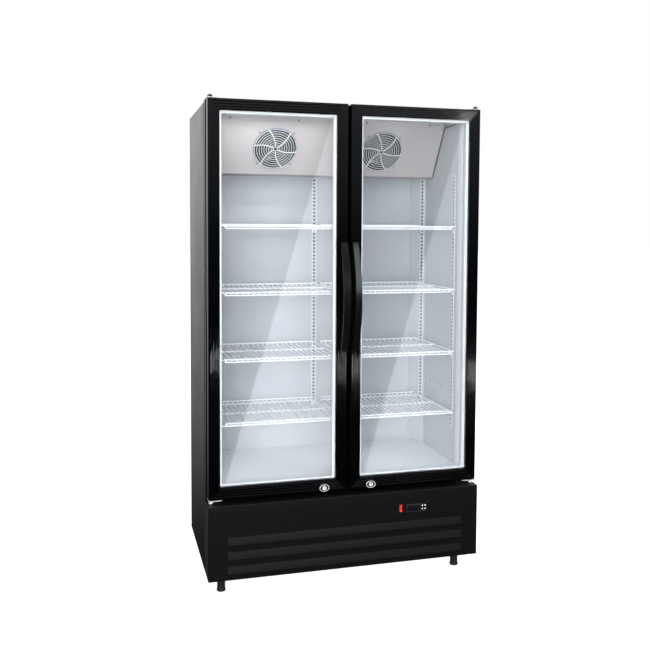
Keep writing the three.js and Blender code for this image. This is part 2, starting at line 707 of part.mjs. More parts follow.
function doorFrame() {
  const grip = GLASS_GRIP + CLEAR;
  return cut(
    box(DOOR_INNER, DOOR_OUTER, 0, DOOR_DEPTH, DOOR_BOTTOM, DOOR_TOP),
    box(OPEN_NEAR, OPEN_FAR, -1, DOOR_DEPTH + 1, OPEN_BOTTOM, OPEN_UPPER),
    box(
      OPEN_NEAR - grip,
      OPEN_FAR + grip,
      GLASS_FRONT - CLEAR,
      GLASS_BACK + CLEAR,
      OPEN_BOTTOM - grip,
      OPEN_UPPER + grip,
    ),
    rodZ(PIVOT_X, PIVOT_Y, PIN_BORE, DOOR_BOTTOM - 1, DOOR_BOTTOM + 13, 16),
    rodZ(PIVOT_X, PIVOT_Y, PIN_BORE, DOOR_TOP - 13, DOOR_TOP + 1, 16),
    rodY(LOCK_X, LOCK_Z, LOCK_RADIUS + 0.6, -1, LOCK_REACH + 2, 16),
  );
}

// Two panes on a hollow spacer; a small breather hole keeps the space between them open.
function glassUnit() {
  const x0 = OPEN_NEAR - GLASS_GRIP;
  const x1 = OPEN_FAR + GLASS_GRIP;
  const z0 = OPEN_BOTTOM - GLASS_GRIP;
  const z1 = OPEN_UPPER + GLASS_GRIP;
  const spacer = 9;
  const middle = (GLASS_FRONT + GLASS_BACK) / 2;
  return cut(
    box(x0, x1, GLASS_FRONT, GLASS_BACK, z0, z1),
    box(x0 + spacer, x1 - spacer, GLASS_FRONT + PANE, GLASS_BACK - PANE, z0 + spacer, z1 - spacer),
    box(x0 + 30, x0 + 34, middle - 2, middle + 2, z0 - 1, z0 + spacer + 1),
  );
}

function gasket() {
  const inset = 11;
  const x0 = DOOR_INNER + inset;
  const x1 = DOOR_OUTER - inset;
  const z0 = DOOR_BOTTOM + inset;
  const z1 = DOOR_TOP - inset;
  const y0 = DOOR_DEPTH + CLEAR;
  const y1 = RING_FRONT - CLEAR;
  const w = GASKET_WIDTH;
  return cut(box(x0, x1, y0, y1, z0, z1), box(x0 + w, x1 - w, y0 - 1, y1 + 1, z0 + w, z1 - w));
}

function handle() {
  const middle = (HANDLE_BOTTOM + HANDLE_TOP) / 2 - 14;
  const curve = (points) =>
    new THREE.SplineCurve(points.map(([y, z]) => new THREE.Vector2(y, z))).getPoints(14);
  const outer = curve([
    [-20, HANDLE_BOTTOM],
    [-50, HANDLE_BOTTOM + 92],
    [HANDLE_FRONT, middle],
    [-50, HANDLE_TOP - 108],
    [-14, HANDLE_TOP],
  ]);
  const inner = curve([
    [-CLEAR, HANDLE_TOP - 24],
    [-37, HANDLE_TOP - 116],
    [HANDLE_FRONT + 12, middle],
    [-37, HANDLE_BOTTOM + 100],
    [-CLEAR, HANDLE_BOTTOM + 26],
  ]);
  const outline = [...outer.map((p) => [p.x, p.y]), [-CLEAR, HANDLE_TOP], ...inner.map((p) => [p.x, p.y])];
  outline.push([-CLEAR, HANDLE_BOTTOM]);
  return side(outline.reverse(), HANDLE_X - HANDLE_WIDTH / 2, HANDLE_X + HANDLE_WIDTH / 2);
}

function lockCylinder() {
  const barrel = rodY(LOCK_X, LOCK_Z, LOCK_RADIUS, -3, LOCK_REACH, 20);
  return cut(barrel, box(LOCK_X - 0.9, LOCK_X + 0.9, -4, 1, LOCK_Z - 4.5, LOCK_Z + 4.5));
}

pair("door_frame", doorFrame(), FRAME_BLACK);
pair("glass_unit", glassUnit(), GLASS);
pair("door_gasket", gasket(), RUBBER);
pair("door_handle", handle(), HANDLE_BLACK);
pair("door_lock", lockCylinder(), CHROME);

export default merchandiser;
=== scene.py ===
"""The looks of an upright two-door glass merchandiser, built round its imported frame.

Metres, +Z up, the doors face -Y. Right-hand pieces are worked out from the CAD boxes,
and mirrored to the left.
"""
import math

import bmesh
import bpy
from mathutils import Matrix, Vector


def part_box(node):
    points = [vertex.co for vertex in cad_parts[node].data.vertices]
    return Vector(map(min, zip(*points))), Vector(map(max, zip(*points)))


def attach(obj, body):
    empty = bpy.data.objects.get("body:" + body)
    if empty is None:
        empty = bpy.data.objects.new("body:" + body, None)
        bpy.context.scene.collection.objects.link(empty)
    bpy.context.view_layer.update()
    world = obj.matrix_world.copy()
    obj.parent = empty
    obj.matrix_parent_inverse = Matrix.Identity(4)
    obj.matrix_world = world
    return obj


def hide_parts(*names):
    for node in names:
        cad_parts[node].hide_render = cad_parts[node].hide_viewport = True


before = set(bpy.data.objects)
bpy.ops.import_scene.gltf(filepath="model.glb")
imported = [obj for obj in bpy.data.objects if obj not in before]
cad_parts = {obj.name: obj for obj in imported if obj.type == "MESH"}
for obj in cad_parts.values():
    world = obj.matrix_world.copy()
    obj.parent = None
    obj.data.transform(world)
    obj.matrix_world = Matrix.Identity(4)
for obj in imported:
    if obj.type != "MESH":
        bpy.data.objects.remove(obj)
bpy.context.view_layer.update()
MM = 0.001
SIDES = {"left": -1, "right": 1}


# ---- camera -------------------------------------------------------------------------------------
CAMERA_PLACE = (-0.941, -3.341, 1.439)
CAMERA_YAW, CAMERA_PITCH, CAMERA_ROLL = 15.32, 3.24, 0.30  # degrees
LENS = 45.15
SHIFT_Y = -0.080


def make_camera():
    data = bpy.data.cameras.new("camera")
    data.lens = LENS
    data.sensor_width = 36
    data.shift_y = SHIFT_Y
    camera = bpy.data.objects.new("camera", data)
    bpy.context.scene.collection.objects.link(camera)
    turn = (
        Matrix.Rotation(math.radians(-CAMERA_YAW), 4, "Z")
        @ Matrix.Rotation(math.radians(90 - CAMERA_PITCH), 4, "X")
        @ Matrix.Rotation(math.radians(CAMERA_ROLL), 4, "Z")
    )
    camera.matrix_world = Matrix.Translation(CAMERA_PLACE) @ turn
    bpy.context.scene.camera = camera


make_camera()


# ---- materials ----------------------------------------------------------------------------------
class Nodes:
    """A material's node tree, with short calls for the nodes used here."""

    def __init__(self, name):
        self.material = bpy.data.materials.new(name)
        self.material.use_nodes = True
        self.tree = self.material.node_tree
        self.tree.nodes.clear()
        self.output = self.tree.nodes.new("ShaderNodeOutputMaterial")
        self.coordinates = self.tree.nodes.new("ShaderNodeTexCoord")

    def add(self, kind, inputs=None, **settings):
        node = self.tree.nodes.new(kind)
        for key, value in settings.items():
            setattr(node, key, value)
        for key, value in (inputs or {}).items():
            if isinstance(value, bpy.types.NodeSocket):
                self.tree.links.new(value, node.inputs[key])
            else:
                node.inputs[key].default_value = value
        return node

    def noise(self, scale, detail=4, stretch=(1, 1, 1)):
        mapping = self.add(
            "ShaderNodeMapping", {"Vector": self.coordinates.outputs["Object"], "Scale": stretch}
        )
        return self.add(
            "ShaderNodeTexNoise",
            {"Vector": mapping.outputs[0], "Scale": scale, "Detail": detail},
        ).outputs["Fac"]

    def spread(self, value, low, high):
        """A noise value between 0.3 and 0.7 spread over low to high."""
        return self.add(
            "ShaderNodeMapRange",
            {"Value": value, "From Min": 0.3, "From Max": 0.7, "To Min": low, "To Max": high},
        ).outputs["Result"]

    def tint(self, value, dark, light):
        """The colour that lies a value's share of the way from dark to light."""
        share = self.spread(value, 0, 1)
        mix = self.add("ShaderNodeMix", {0: share, 6: (*dark, 1), 7: (*light, 1)}, data_type="RGBA")
        return mix.outputs[2]

    def bump(self, value, height):
        return self.add(
            "ShaderNodeBump", {"Height": value, "Strength": 1.0, "Distance": height}
        ).outputs["Normal"]

    def finish(self, shader):
        self.tree.links.new(shader.outputs[0], self.output.inputs["Surface"])
        return self.material


def surface(name, dark, light, rough, metallic=0.0, grain=900, height=0.00003, patch=6, **extra):
    """A surface that varies a little: patches in its colour and gloss, grain in its relief."""
    n = Nodes(name)
    patches = n.noise(patch, 3)
    fine = n.noise(grain, 2)
    shader = n.add(
        "ShaderNodeBsdfPrincipled",
        {
            "Base Color": n.tint(patches, dark, light),
            "Roughness": n.spread(patches, rough - 0.04, rough + 0.04),
            "Metallic": metallic,
            "Normal": n.bump(fine, height),
            **extra,
        },
    )
    return n.finish(shader)


def brushed(name, dark, light, rough, stretch, metallic=1.0, height=0.00002):
    """Metal with fine lines along the axis whose stretch is smallest."""
    n = Nodes(name)
    lines = n.noise(400, 3, stretch)
    shader = n.add(
        "ShaderNodeBsdfPrincipled",
        {
            "Base Color": n.tint(lines, dark, light),
            "Roughness": n.spread(lines, rough - 0.06, rough + 0.06),
            "Metallic": metallic,
            "Normal": n.bump(lines, height),
        },
    )
    return n.finish(shader)


FACE_MIRROR = 0.034  # share of the light that a pane's face mirrors when it is met head on


def clear_glass(name):
    """A clear pane: what is behind it shows through, and its faces mirror more of the room at a slant.

    The share follows Schlick's rule on the angle alone, because a see-through ray isn't bent in the pane:
    a Fresnel node would turn the pane's inner faces into full mirrors beyond 44 degrees.
    """
    n = Nodes(name)
    through = n.add("ShaderNodeBsdfTransparent", {"Color": (0.975, 0.985, 0.99, 1)})
    mirror = n.add(
        "ShaderNodeBsdfPrincipled",
        {"Base Color": (0.9, 0.95, 1.0, 1), "Metallic": 1.0, "Roughness": 0.02},
    )
    slant = n.add("ShaderNodeLayerWeight", {"Blend": 0.5}).outputs["Facing"]
    steep = n.add("ShaderNodeMath", {0: slant, 1: 5.0}, operation="POWER").outputs[0]
    share = n.add(
        "ShaderNodeMath", {0: steep, 1: 1 - FACE_MIRROR, 2: FACE_MIRROR}, operation="MULTIPLY_ADD"
    ).outputs[0]
    mix = n.add("ShaderNodeMixShader", {0: share, 1: through.outputs[0], 2: mirror.outputs[0]})
    return n.finish(mix)


def glowing(name, colour, strength):
    n = Nodes(name)
    fine = n.noise(60, 2)
    shader = n.add(
        "ShaderNodeBsdfPrincipled",
        {
            "Base Color": (*colour, 1),
            "Roughness": n.spread(fine, 0.35, 0.5),
            "Emission Color": (*colour, 1),
            "Emission Strength": strength,
        },
    )
    return n.finish(shader)


BLACK_PAINT = surface(
    "black_paint", (0.0026, 0.0026, 0.0030), (0.0046, 0.0046, 0.005), 0.25,
    grain=260, height=0.00002, patch=3
)
CHARCOAL = surface(
    "charcoal_paint", (0.0022, 0.0022, 0.0022), (0.0050, 0.0050, 0.0049), 0.5,
    grain=700, height=0.00012, patch=260
)
FRAME_BLACK = surface(
    "frame_black", (0.0006, 0.0006, 0.0009), (0.0012, 0.0012, 0.0017), 0.11, grain=500, height=0.000003,
    **{"Specular IOR Level": 0.36}
)
LINER_WHITE = surface(
    "white_liner", (0.474, 0.478, 0.496), (0.488, 0.492, 0.511), 0.30, grain=30, height=0.000003, patch=2.2
)
# The floor's white is paler than the walls' liner white: painted light for the floor that gets more light
# from above.
FLOOR_WHITE = surface(
    "white_floor", (0.70, 0.705, 0.715), (0.73, 0.735, 0.745), 0.34, grain=30, height=0.000003, patch=2.2
)
COVER_GREY = surface(
    "cover_grey", (0.468, 0.421, 0.414), (0.481, 0.434, 0.427), 0.42, grain=30, height=0.000002, patch=3
)
WIRE_WHITE = surface("white_steel", (0.90, 0.91, 0.92), (0.95, 0.955, 0.96), 0.3, grain=500, height=0.00002)
STRIP_WHITE = surface(
    "strip_white", (0.60, 0.61, 0.625), (0.64, 0.65, 0.665), 0.34, grain=500, height=0.00001
)
TRIM_WHITE = surface("trim_white", (0.66, 0.67, 0.685), (0.70, 0.71, 0.72), 0.4)
# Near black: painted shade for the dark inside the punched slots; the screw heads take the same near black.
SLOT_DARK = surface("slot_dark", (0.003, 0.003, 0.004), (0.005, 0.005, 0.007), 0.7)
# Near black: painted shade in the lock's well and keyhole and at the closed back of the fan's shroud; on the
# fan motor it is the motor's own black.
HOLLOW_SHADE_BLACK = surface("hollow_shade_black", (0.004, 0.004, 0.005), (0.008, 0.008, 0.01), 0.8)
GALVANISED = surface("galvanised", (0.42, 0.44, 0.46), (0.60, 0.62, 0.63), 0.42, 0.9, grain=80, patch=45)
ZINC = brushed("zinc", (0.62, 0.57, 0.48), (0.80, 0.76, 0.67), 0.34, (1, 8, 8), metallic=0.55)
SILVER_TRIM = brushed("silver_trim", (0.50, 0.51, 0.53), (0.66, 0.67, 0.69), 0.34, (0.05, 4, 4))
COIL_METAL = surface("coil_metal", (0.42, 0.43, 0.44), (0.58, 0.59, 0.60), 0.45, 0.9, patch=30)
FOAM = surface("foam", (0.62, 0.50, 0.22), (0.74, 0.63, 0.34), 0.9, grain=300, height=0.0004)
COMPRESSOR_BLACK = surface(
    "compressor_black", (0.010, 0.010, 0.011), (0.016, 0.016, 0.017), 0.45, grain=500
)
# Blue grey on the guard's rim: painted shade along the edge of the white guard.
GUARD_RIM_SHADE = surface("guard_rim_shade", (0.22, 0.25, 0.32), (0.28, 0.31, 0.38), 0.4, grain=300, height=0.00001)
BLACK_PLASTIC = surface(
    "black_plastic", (0.007, 0.007, 0.008), (0.011, 0.011, 0.012), 0.42, grain=1600, height=0.00004
)
RUBBER = surface("gasket_grey", (0.40, 0.41, 0.42), (0.48, 0.49, 0.50), 0.6, grain=900, height=0.00003)
# The red rocker's faint emission is a painted glow: brightness given as emission, not by a lamp.
RED_PLASTIC = surface(
    "red_plastic", (0.62, 0.012, 0.008), (0.74, 0.02, 0.012), 0.24,
    **{"Emission Color": (0.9, 0.05, 0.03, 1), "Emission Strength": 0.35}
)
# The keys' pale marks glow a little: a painted glow on marks that are no lamps.
KEY_MARK = glowing("key_mark", (0.85, 0.88, 0.9), 0.35)
DISPLAY = surface("display", (0.003, 0.003, 0.004), (0.005, 0.005, 0.006), 0.12, grain=300, height=0.000005)
HANDLE_DARK = brushed(
    "handle_black", (0.0026, 0.0021, 0.0024), (0.0046, 0.0038, 0.0043), 0.20, (8, 8, 0.04), metallic=0.0
)
FOOT_BLACK = surface(
    "foot_black", (0.012, 0.012, 0.0125), (0.017, 0.017, 0.0175), 0.36, grain=900, height=0.00003
)
LOCK_METAL = brushed(
    "lock_metal", (0.80, 0.81, 0.83), (0.93, 0.94, 0.95), 0.2, (1, 1, 1), metallic=0.35, height=0.000004
)
GLASS = clear_glass("glass")
LAMP = glowing("lamp_white", (1.0, 1.0, 1.0), 2.5)


# ---- mesh helpers -------------------------------------------------------------------------------
class Shape:
    """Vertices and faces gathered for one piece; each face has a material number."""

    def __init__(self):
        self.points = []
        self.faces = []
        self.numbers = []

    def add(self, points, faces, number=0):
        start = len(self.points)
        self.points += [Vector(p) for p in points]
        self.faces += [[start + i for i in face] for face in faces]
        self.numbers += [number] * len(faces)

    def moved(self, matrix):
        self.points = [matrix @ p for p in self.points]
        return self

    def take(self, other, number=None):
        start = len(self.points)
        self.points += other.points
        self.faces += [[start + i for i in face] for face in other.faces]
        self.numbers += [number] * len(other.faces) if number is not None else other.numbers


def piece(name, shape, materials, body, stands_for=(), smooth=35, mirror=False):
    mesh = bpy.data.meshes.new(name)
    sign = -1 if mirror else 1
    mesh.from_pydata([(sign * p.x, p.y, p.z) for p in shape.points], [], shape.faces)
    for material in materials:
        mesh.materials.append(material)
    mesh.polygons.foreach_set("material_index", shape.numbers)
    work = bmesh.new()
    work.from_mesh(mesh)
    bmesh.ops.recalc_face_normals(work, faces=work.faces)
    work.to_mesh(mesh)
    work.free()
    mesh.shade_smooth()
    mesh.set_sharp_from_angle(angle=math.radians(smooth))
    ob = bpy.data.objects.new(name, mesh)
    bpy.context.scene.collection.objects.link(ob)
    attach(ob, body)
    if stands_for:
        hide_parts(*stands_for)
    return ob


def rounded_box(low, high, radius=0.0, steps=2):
    """A box between two corners with its edges rounded."""
    low, high = Vector(low), Vector(high)
    work = bmesh.new()
    bmesh.ops.create_cube(work, size=1)
    size = high - low
    middle = (low + high) / 2
    for v in work.verts:
        v.co = Vector(v.co[i] * size[i] + middle[i] for i in range(3))
    if radius:
        bmesh.ops.bevel(
            work, geom=work.edges[:], offset=radius, segments=steps, profile=0.5, affect="EDGES"
        )
    return from_bmesh(work)


def from_bmesh(work):
    shape = Shape()
    work.verts.index_update()
    shape.add([v.co.copy() for v in work.verts], [[v.index for v in f.verts] for f in work.faces])
    work.free()
    return shape


def band(first, second, count):
    """The faces between two closed rings of count points, numbered from first and from second."""
    return [
        [first + i, first + (i + 1) % count, second + (i + 1) % count, second + i] for i in range(count)
    ]


def lathe(outline, steps=32):
    """An outline of (radius, height) turned about Z. Radius 0 closes an end."""
    shape = Shape()
    rings = []
    for radius, height in outline:
        if radius == 0:
            rings.append([len(shape.points)])
            shape.points.append(Vector((0, 0, height)))
            continue
        rings.append(list(range(len(shape.points), len(shape.points) + steps)))
        for i in range(steps):
            a = 2 * math.pi * i / steps
            shape.points.append(Vector((radius * math.cos(a), radius * math.sin(a), height)))
    for lower, upper in zip(rings, rings[1:]):
        for i in range(steps):
            j = (i + 1) % steps
            if len(lower) == 1:
                face = [lower[0], upper[j], upper[i]]
            elif len(upper) == 1:
                face = [lower[i], lower[j], upper[0]]
            else:
                face = [lower[i], lower[j], upper[j], upper[i]]
            shape.faces.append(face)
            shape.numbers.append(0)
    return shape


def tube(path, radius, sides=8, closed=False):
    """A round wire along points, with flat ends unless it is closed."""
    path = [Vector(p) for p in path]
    count = len(path)
    shape = Shape()
    normal = None
    for i, point in enumerate(path):
        before = path[i - 1] if closed or i else point
        after = path[(i + 1) % count] if closed or i < count - 1 else point
        along = (after - before).normalized()
        if normal is None:
            normal = along.orthogonal().normalized()
        normal = (normal - along * normal.dot(along)).normalized()
        across = along.cross(normal)
        for k in range(sides):
            a = 2 * math.pi * k / sides
            shape.points.append(point + (normal * math.cos(a) + across * math.sin(a)) * radius)
    for i in range(count if closed else count - 1):
        shape.faces += band(i * sides, (i + 1) % count * sides, sides)
    if not closed:
        shape.faces += [list(range(sides)), list(range((count - 1) * sides, count * sides))]
    shape.numbers = [0] * len(shape.faces)
    return shape


def arc(centre, radius, start, end, steps):
    """Points of an arc in the XY plane, angles in degrees."""
    for i in range(steps + 1):
        a = math.radians(start + (end - start) * i / steps)
        yield (centre[0] + radius * math.cos(a), centre[1] + radius * math.sin(a))


def prism(outline, low, high, axis):
    """A closed outline, given on the other two axes, pulled from low to high along an axis."""
    shape = Shape()
    count = len(outline)
    for level in (low, high):
        for a, b in outline:
            places = {"x": (level, a, b), "y": (a, level, b), "z": (a, b, level)}
            shape.points.append(Vector(places[axis]))
    shape.faces = [list(range(count)), list(range(count, 2 * count))] + band(0, count, count)
    shape.numbers = [0] * len(shape.faces)
    return shape


def ring_members(low, high, profile, gap=0.0):
    """Four mitred members round a rectangle in XZ. The profile's points are (inset from the edge, y)."""
    corners = [(0, 0), (1, 0), (1, 1), (0, 1)]
    shape = Shape()
    count = len(profile)
    for k in range(4):
        (ax, az), (bx, bz) = corners[k], corners[(k + 1) % 4]
        step = Vector((bx - ax, 0, bz - az))
        for (cx, cz), shift in (((ax, az), gap), ((bx, bz), -gap)):
            for inset, y in profile:
                x = high[0] - inset if cx else low[0] + inset
                z = high[2] - inset if cz else low[2] + inset
                shape.points.append(Vector((x, y, z)) + step * shift)
        base = len(shape.points) - 2 * count
        faces = band(base, base + count, count)
        faces += [list(range(base, base + count)), list(range(base + count, base + 2 * count))]
        shape.faces += faces
        shape.numbers += [0] * len(faces)
    return shape


def softened(shape, radius, steps=2):
    """The same closed shape with its edges rounded."""
    work = bmesh.new()
    points = [work.verts.new(p) for p in shape.points]
    for face in shape.faces:
        work.faces.new([points[i] for i in face])
    bmesh.ops.recalc_face_normals(work, faces=work.faces[:])
    bmesh.ops.bevel(work, geom=work.edges[:], offset=radius, segments=steps, profile=0.5, affect="EDGES")
    return from_bmesh(work)


def filleted(points, radius, closed=False, steps=4):
    """The points of a path with each corner turned by a short curve."""
    count = len(points)
    result = []
    for i, point in enumerate(points):
        corner = Vector(point)
        if not closed and i in (0, count - 1):
            result.append(corner)
            continue
        before = Vector(points[i - 1]) - corner
        after = Vector(points[(i + 1) % count]) - corner
        start = corner + before.normalized() * min(radius, before.length / 2)
        end = corner + after.normalized() * min(radius, after.length / 2)
        for k in range(steps + 1):
            t = k / steps
            result.append(start * (1 - t) ** 2 + corner * 2 * t * (1 - t) + end * t**2)
    return result


def screw_head(place, out, radius=0.0035):
    """A domed cross-recess screw head at a place, pointing out."""
    head = lathe(
        [(0, 0.35 * radius), (0.3 * radius, 0.35 * radius), (0.34 * radius, 0.62 * radius),
         (0.7 * radius, 0.45 * radius), (0.95 * radius, 0.15 * radius), (radius, 0), (0, -0.0002)],
        14,
    )
    turn = Vector(out).to_track_quat("Z", "Y").to_matrix().to_4x4()
    return head.moved(Matrix.Translation(place) @ turn)


# ---- carried-over CAD nodes ---------------------------------------------------------------------
def finish_node(material, *nodes):
    for node in nodes:
        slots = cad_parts[node].data.materials
        slots.clear()
        slots.append(material)


finish_node(BLACK_PAINT, "side_panel_left", "side_panel_right", "top_panel")
finish_node(FRAME_BLACK, "front_frame")
finish_node(GALVANISED, "back_panel", "base_pan")
finish_node(FOAM, "insulation_foam")
finish_node(LINER_WHITE, "liner_left", "liner_right", "liner_back", "liner_ceiling")
finish_node(FLOOR_WHITE, "liner_floor")
finish_node(LAMP, "lamp_bar")
finish_node(COVER_GREY, "evaporator_cover")
finish_node(COIL_METAL, "evaporator_coil", "condenser_unit")
finish_node(COMPRESSOR_BLACK, "compressor")
finish_node(GLASS, "glass_unit_left", "glass_unit_right")

FRAME_LOW, FRAME_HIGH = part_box("front_frame")
DOOR_LOW, DOOR_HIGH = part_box("door_frame_right")
GLASS_LOW, GLASS_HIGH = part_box("glass_unit_right")
GASKET_LOW, GASKET_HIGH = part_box("door_gasket_right")
BASE_LOW, BASE_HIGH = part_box("base_front_panel")
WALL_LOW, WALL_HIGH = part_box("liner_right")
GLASS_GRIP = 10 * MM
FACE_Y = DOOR_LOW.y


# ---- doors --------------------------------------------------------------------------------------
RIBS = (7.5, 17.5, 27.5, 37.5)  # crests across the member's face, from its outer edge
RIB_HALF = 4.6
RIB_HEIGHT = 1.5


def frame_profile():
    """The door member's section: rounded outer edge, ribbed face, step to the glass, then the back."""
    points = [(0, 46), (0, 4.5), (0.5, 2.6), (1.6, 1.6)]
    for crest in RIBS:
        for i in range(7):
            t = -1 + i / 3
            lift = RIB_HEIGHT * math.cos(t * math.pi / 2) ** 0.8 if abs(t) < 1 else 0
            points.append((crest + t * RIB_HALF, 1.6 - lift))
    points += [(42.4, 1.7), (43.8, 2.2), (44.8, 3.6)]
    points += [(44.8, 15.4), (38, 15.4), (38, 40.6), (46, 40.6), (46, 46), (44, 48), (2, 48)]
    return [(inset * MM, FACE_Y + y * MM) for inset, y in points]


def bellows_profile():
    y0, y1 = GASKET_LOW.y, GASKET_HIGH.y
    depth = y1 - y0
    steps = [(0, 0), (-0.6, 0.2), (0.8, 0.4), (-0.4, 0.62), (0.4, 0.8), (0, 1.0)]
    outer = [((1.2 + a) * MM, y0 + depth * b) for a, b in steps]
    inner = [(14 * MM - inset, y) for inset, y in reversed(outer)]
    return outer + inner


HANDLE_TILT = 0.16  # how far the blade's face turns towards its own door, as a slope
BLADE_HOLLOW = 0.90  # the share of each half's length in which the blade's back stands off the door


def handle_shape(low, high):
    """A bowed blade along Z whose square ends meet the door: a rounded section swept along the bow."""
    middle_z = (low.z + high.z) / 2 - 14 * MM
    half_width = (high.x - low.x) / 2
    x = (low.x + high.x) / 2
    reach = high.y - low.y
    turn = HANDLE_TILT * half_width
    steps = 48
    shape = Shape()
    for i in range(steps + 1):
        z = low.z + (high.z - low.z) * i / steps
        span = (high.z - middle_z) if z > middle_z else (middle_z - low.z)
        t = min(abs(z - middle_z) / span, 1)
        end_front = 0.16 if z > middle_z else 0.34
        front = end_front + (1 - end_front) * (1 - t**2.1)
        back = 0.80 * (1 - (t / BLADE_HOLLOW) ** 2.2) if t < BLADE_HOLLOW else 0.0
        y_near = high.y - reach * front
        y_back = high.y - reach * back
        depth = y_back - y_near
        r = min(2.2 * MM, depth / 4)
        y_far = y_near + min(2 * turn, depth / 2)
        section = [
            (-half_width, y_back), (-half_width, y_near + r),
            (-half_width + r * 0.3, y_near + r * 0.3), (-half_width + r, y_near),
            (half_width - r, y_far), (half_width - r * 0.3, y_far + r * 0.3),
            (half_width, y_far + r), (half_width, y_back),
        ]
        shape.points += [Vector((x + dx, y, z)) for dx, y in section]
    count = len(section)
    for i in range(steps):
        shape.faces += band(i * count, (i + 1) * count, count)
    shape.faces += [list(range(count)), list(range(steps * count, (steps + 1) * count))]
    shape.numbers = [0] * len(shape.faces)
    return shape


def lock_ring(centre):
    """A narrow oval bright surround, closed by a flat dark disc round the barrel that is painted shade for
    its well.
    """
    outer_x, outer_z = 20 * MM, 14 * MM
    shape = Shape()
    steps = 40
    rows = [(1.0, 0.0), (0.99, -1.4), (0.965, -2.2), (0.93, -2.4), (0.90, -1.8), (0.885, -0.2)]
    for scale, y in rows:
        for i in range(steps):
            a = 2 * math.pi * i / steps
            shape.points.append(
                centre + Vector((outer_x * scale * math.cos(a), y * MM, outer_z * scale * math.sin(a)))
            )
    for r in range(len(rows) - 1):
        shape.faces += band(r * steps, (r + 1) * steps, steps)
    shape.numbers = [0] * len(shape.faces)
    last = (len(rows) - 1) * steps
    well = len(shape.points)
    shape.points.append(centre + Vector((0, -0.1 * MM, 0)))
    for i in range(steps):
        shape.faces.append([last + i, last + (i + 1) % steps, well])
        shape.numbers.append(1)
    return shape


def lock_barrel(low, high):
    """The turning barrel: a bright cap with a keyhole slot, a thin dark plate on the cap whose dark is
    painted shade.
    """
    radius = (high.x - low.x) / 2
    outline = [(0, 2.2), (0.62, 2.2), (0.66, 3.0), (0.92, 2.9), (1.0, 2.2), (1.0, -16), (0, -16)]
    cap = lathe([(r * radius, h * MM) for r, h in outline], 28)
    centre = (low + high) / 2
    cap.moved(Matrix.Translation((centre.x, FACE_Y, centre.z)) @ Matrix.Rotation(math.pi / 2, 4, "X"))
    slot = rounded_box(
        (centre.x - 1.9 * MM, FACE_Y - 2.5 * MM, centre.z - 2 * MM),
        (centre.x + 1.9 * MM, FACE_Y - 2.1 * MM, centre.z + 5.5 * MM),
    )
    cap.take(slot, 1)
    return cap


def make_doors():
    opening_low = GLASS_LOW + Vector((GLASS_GRIP, 0, GLASS_GRIP))
    opening_high = GLASS_HIGH - Vector((GLASS_GRIP, 0, GLASS_GRIP))
    handle_low, handle_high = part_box("door_handle_right")
    lock_low, lock_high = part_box("door_lock_right")
    lock_centre = Vector(((lock_low.x + lock_high.x) / 2, FACE_Y, (lock_low.z + lock_high.z) / 2))
    spacer_corners = ((1, 4.6), (17.5, 4.6), (17.5, 19.4), (1, 19.4))
    spacer = [(inset * MM, GLASS_LOW.y + y * MM) for inset, y in spacer_corners]
    for side, sign in SIDES.items():
        body = "door_" + side
        mirror = sign < 0
        piece(
            "frame_members_" + side,
            ring_members(DOOR_LOW, DOOR_HIGH, frame_profile(), 0.15 * MM),
            [FRAME_BLACK], body, ["door_frame_" + side], 28, mirror,
        )
        piece(
            "gasket_bellows_" + side,
            ring_members(GASKET_LOW, GASKET_HIGH, bellows_profile()),
            [RUBBER], body, ["door_gasket_" + side], 35, mirror,
        )
        piece(
            "glass_spacer_" + side,
            ring_members(GLASS_LOW, GLASS_HIGH, spacer),
            [TRIM_WHITE], body, (), 35, mirror,
        )
        sill = rounded_box(
            (opening_low.x, FACE_Y + 5 * MM, opening_low.z - 0.5 * MM),
            (opening_high.x, FACE_Y + 15.5 * MM, opening_low.z + 5 * MM),
            1.2 * MM,
        )
        piece("glass_sill_" + side, sill, [SILVER_TRIM], body, (), 35, mirror)
        piece(
            "handle_blade_" + side, handle_shape(handle_low, handle_high),
            [HANDLE_DARK], body, ["door_handle_" + side], 30, mirror,
        )
        piece(
            "lock_surround_" + side, lock_ring(lock_centre),
            [LOCK_METAL, HOLLOW_SHADE_BLACK], body, (), 35, mirror,
        )
        piece(
            "lock_barrel_" + side, lock_barrel(lock_low, lock_high),
            [LOCK_METAL, HOLLOW_SHADE_BLACK], "lock_" + side, ["door_lock_" + side], 35, mirror,
        )


make_doors()


# ---- hinges -------------------------------------------------------------------------------------
HINGE_IN, HINGE_OUT = 500 * MM, 557 * MM
HINGE_PLATE = 3.0 * MM
PIVOT = (545 * MM, FACE_Y + 25 * MM)


def upright(outline, steps, place):
    """A lathe shape standing at a place, its heights given in the object's frame."""
    return lathe(outline, steps).moved(Matrix.Translation((place[0], place[1], 0)))


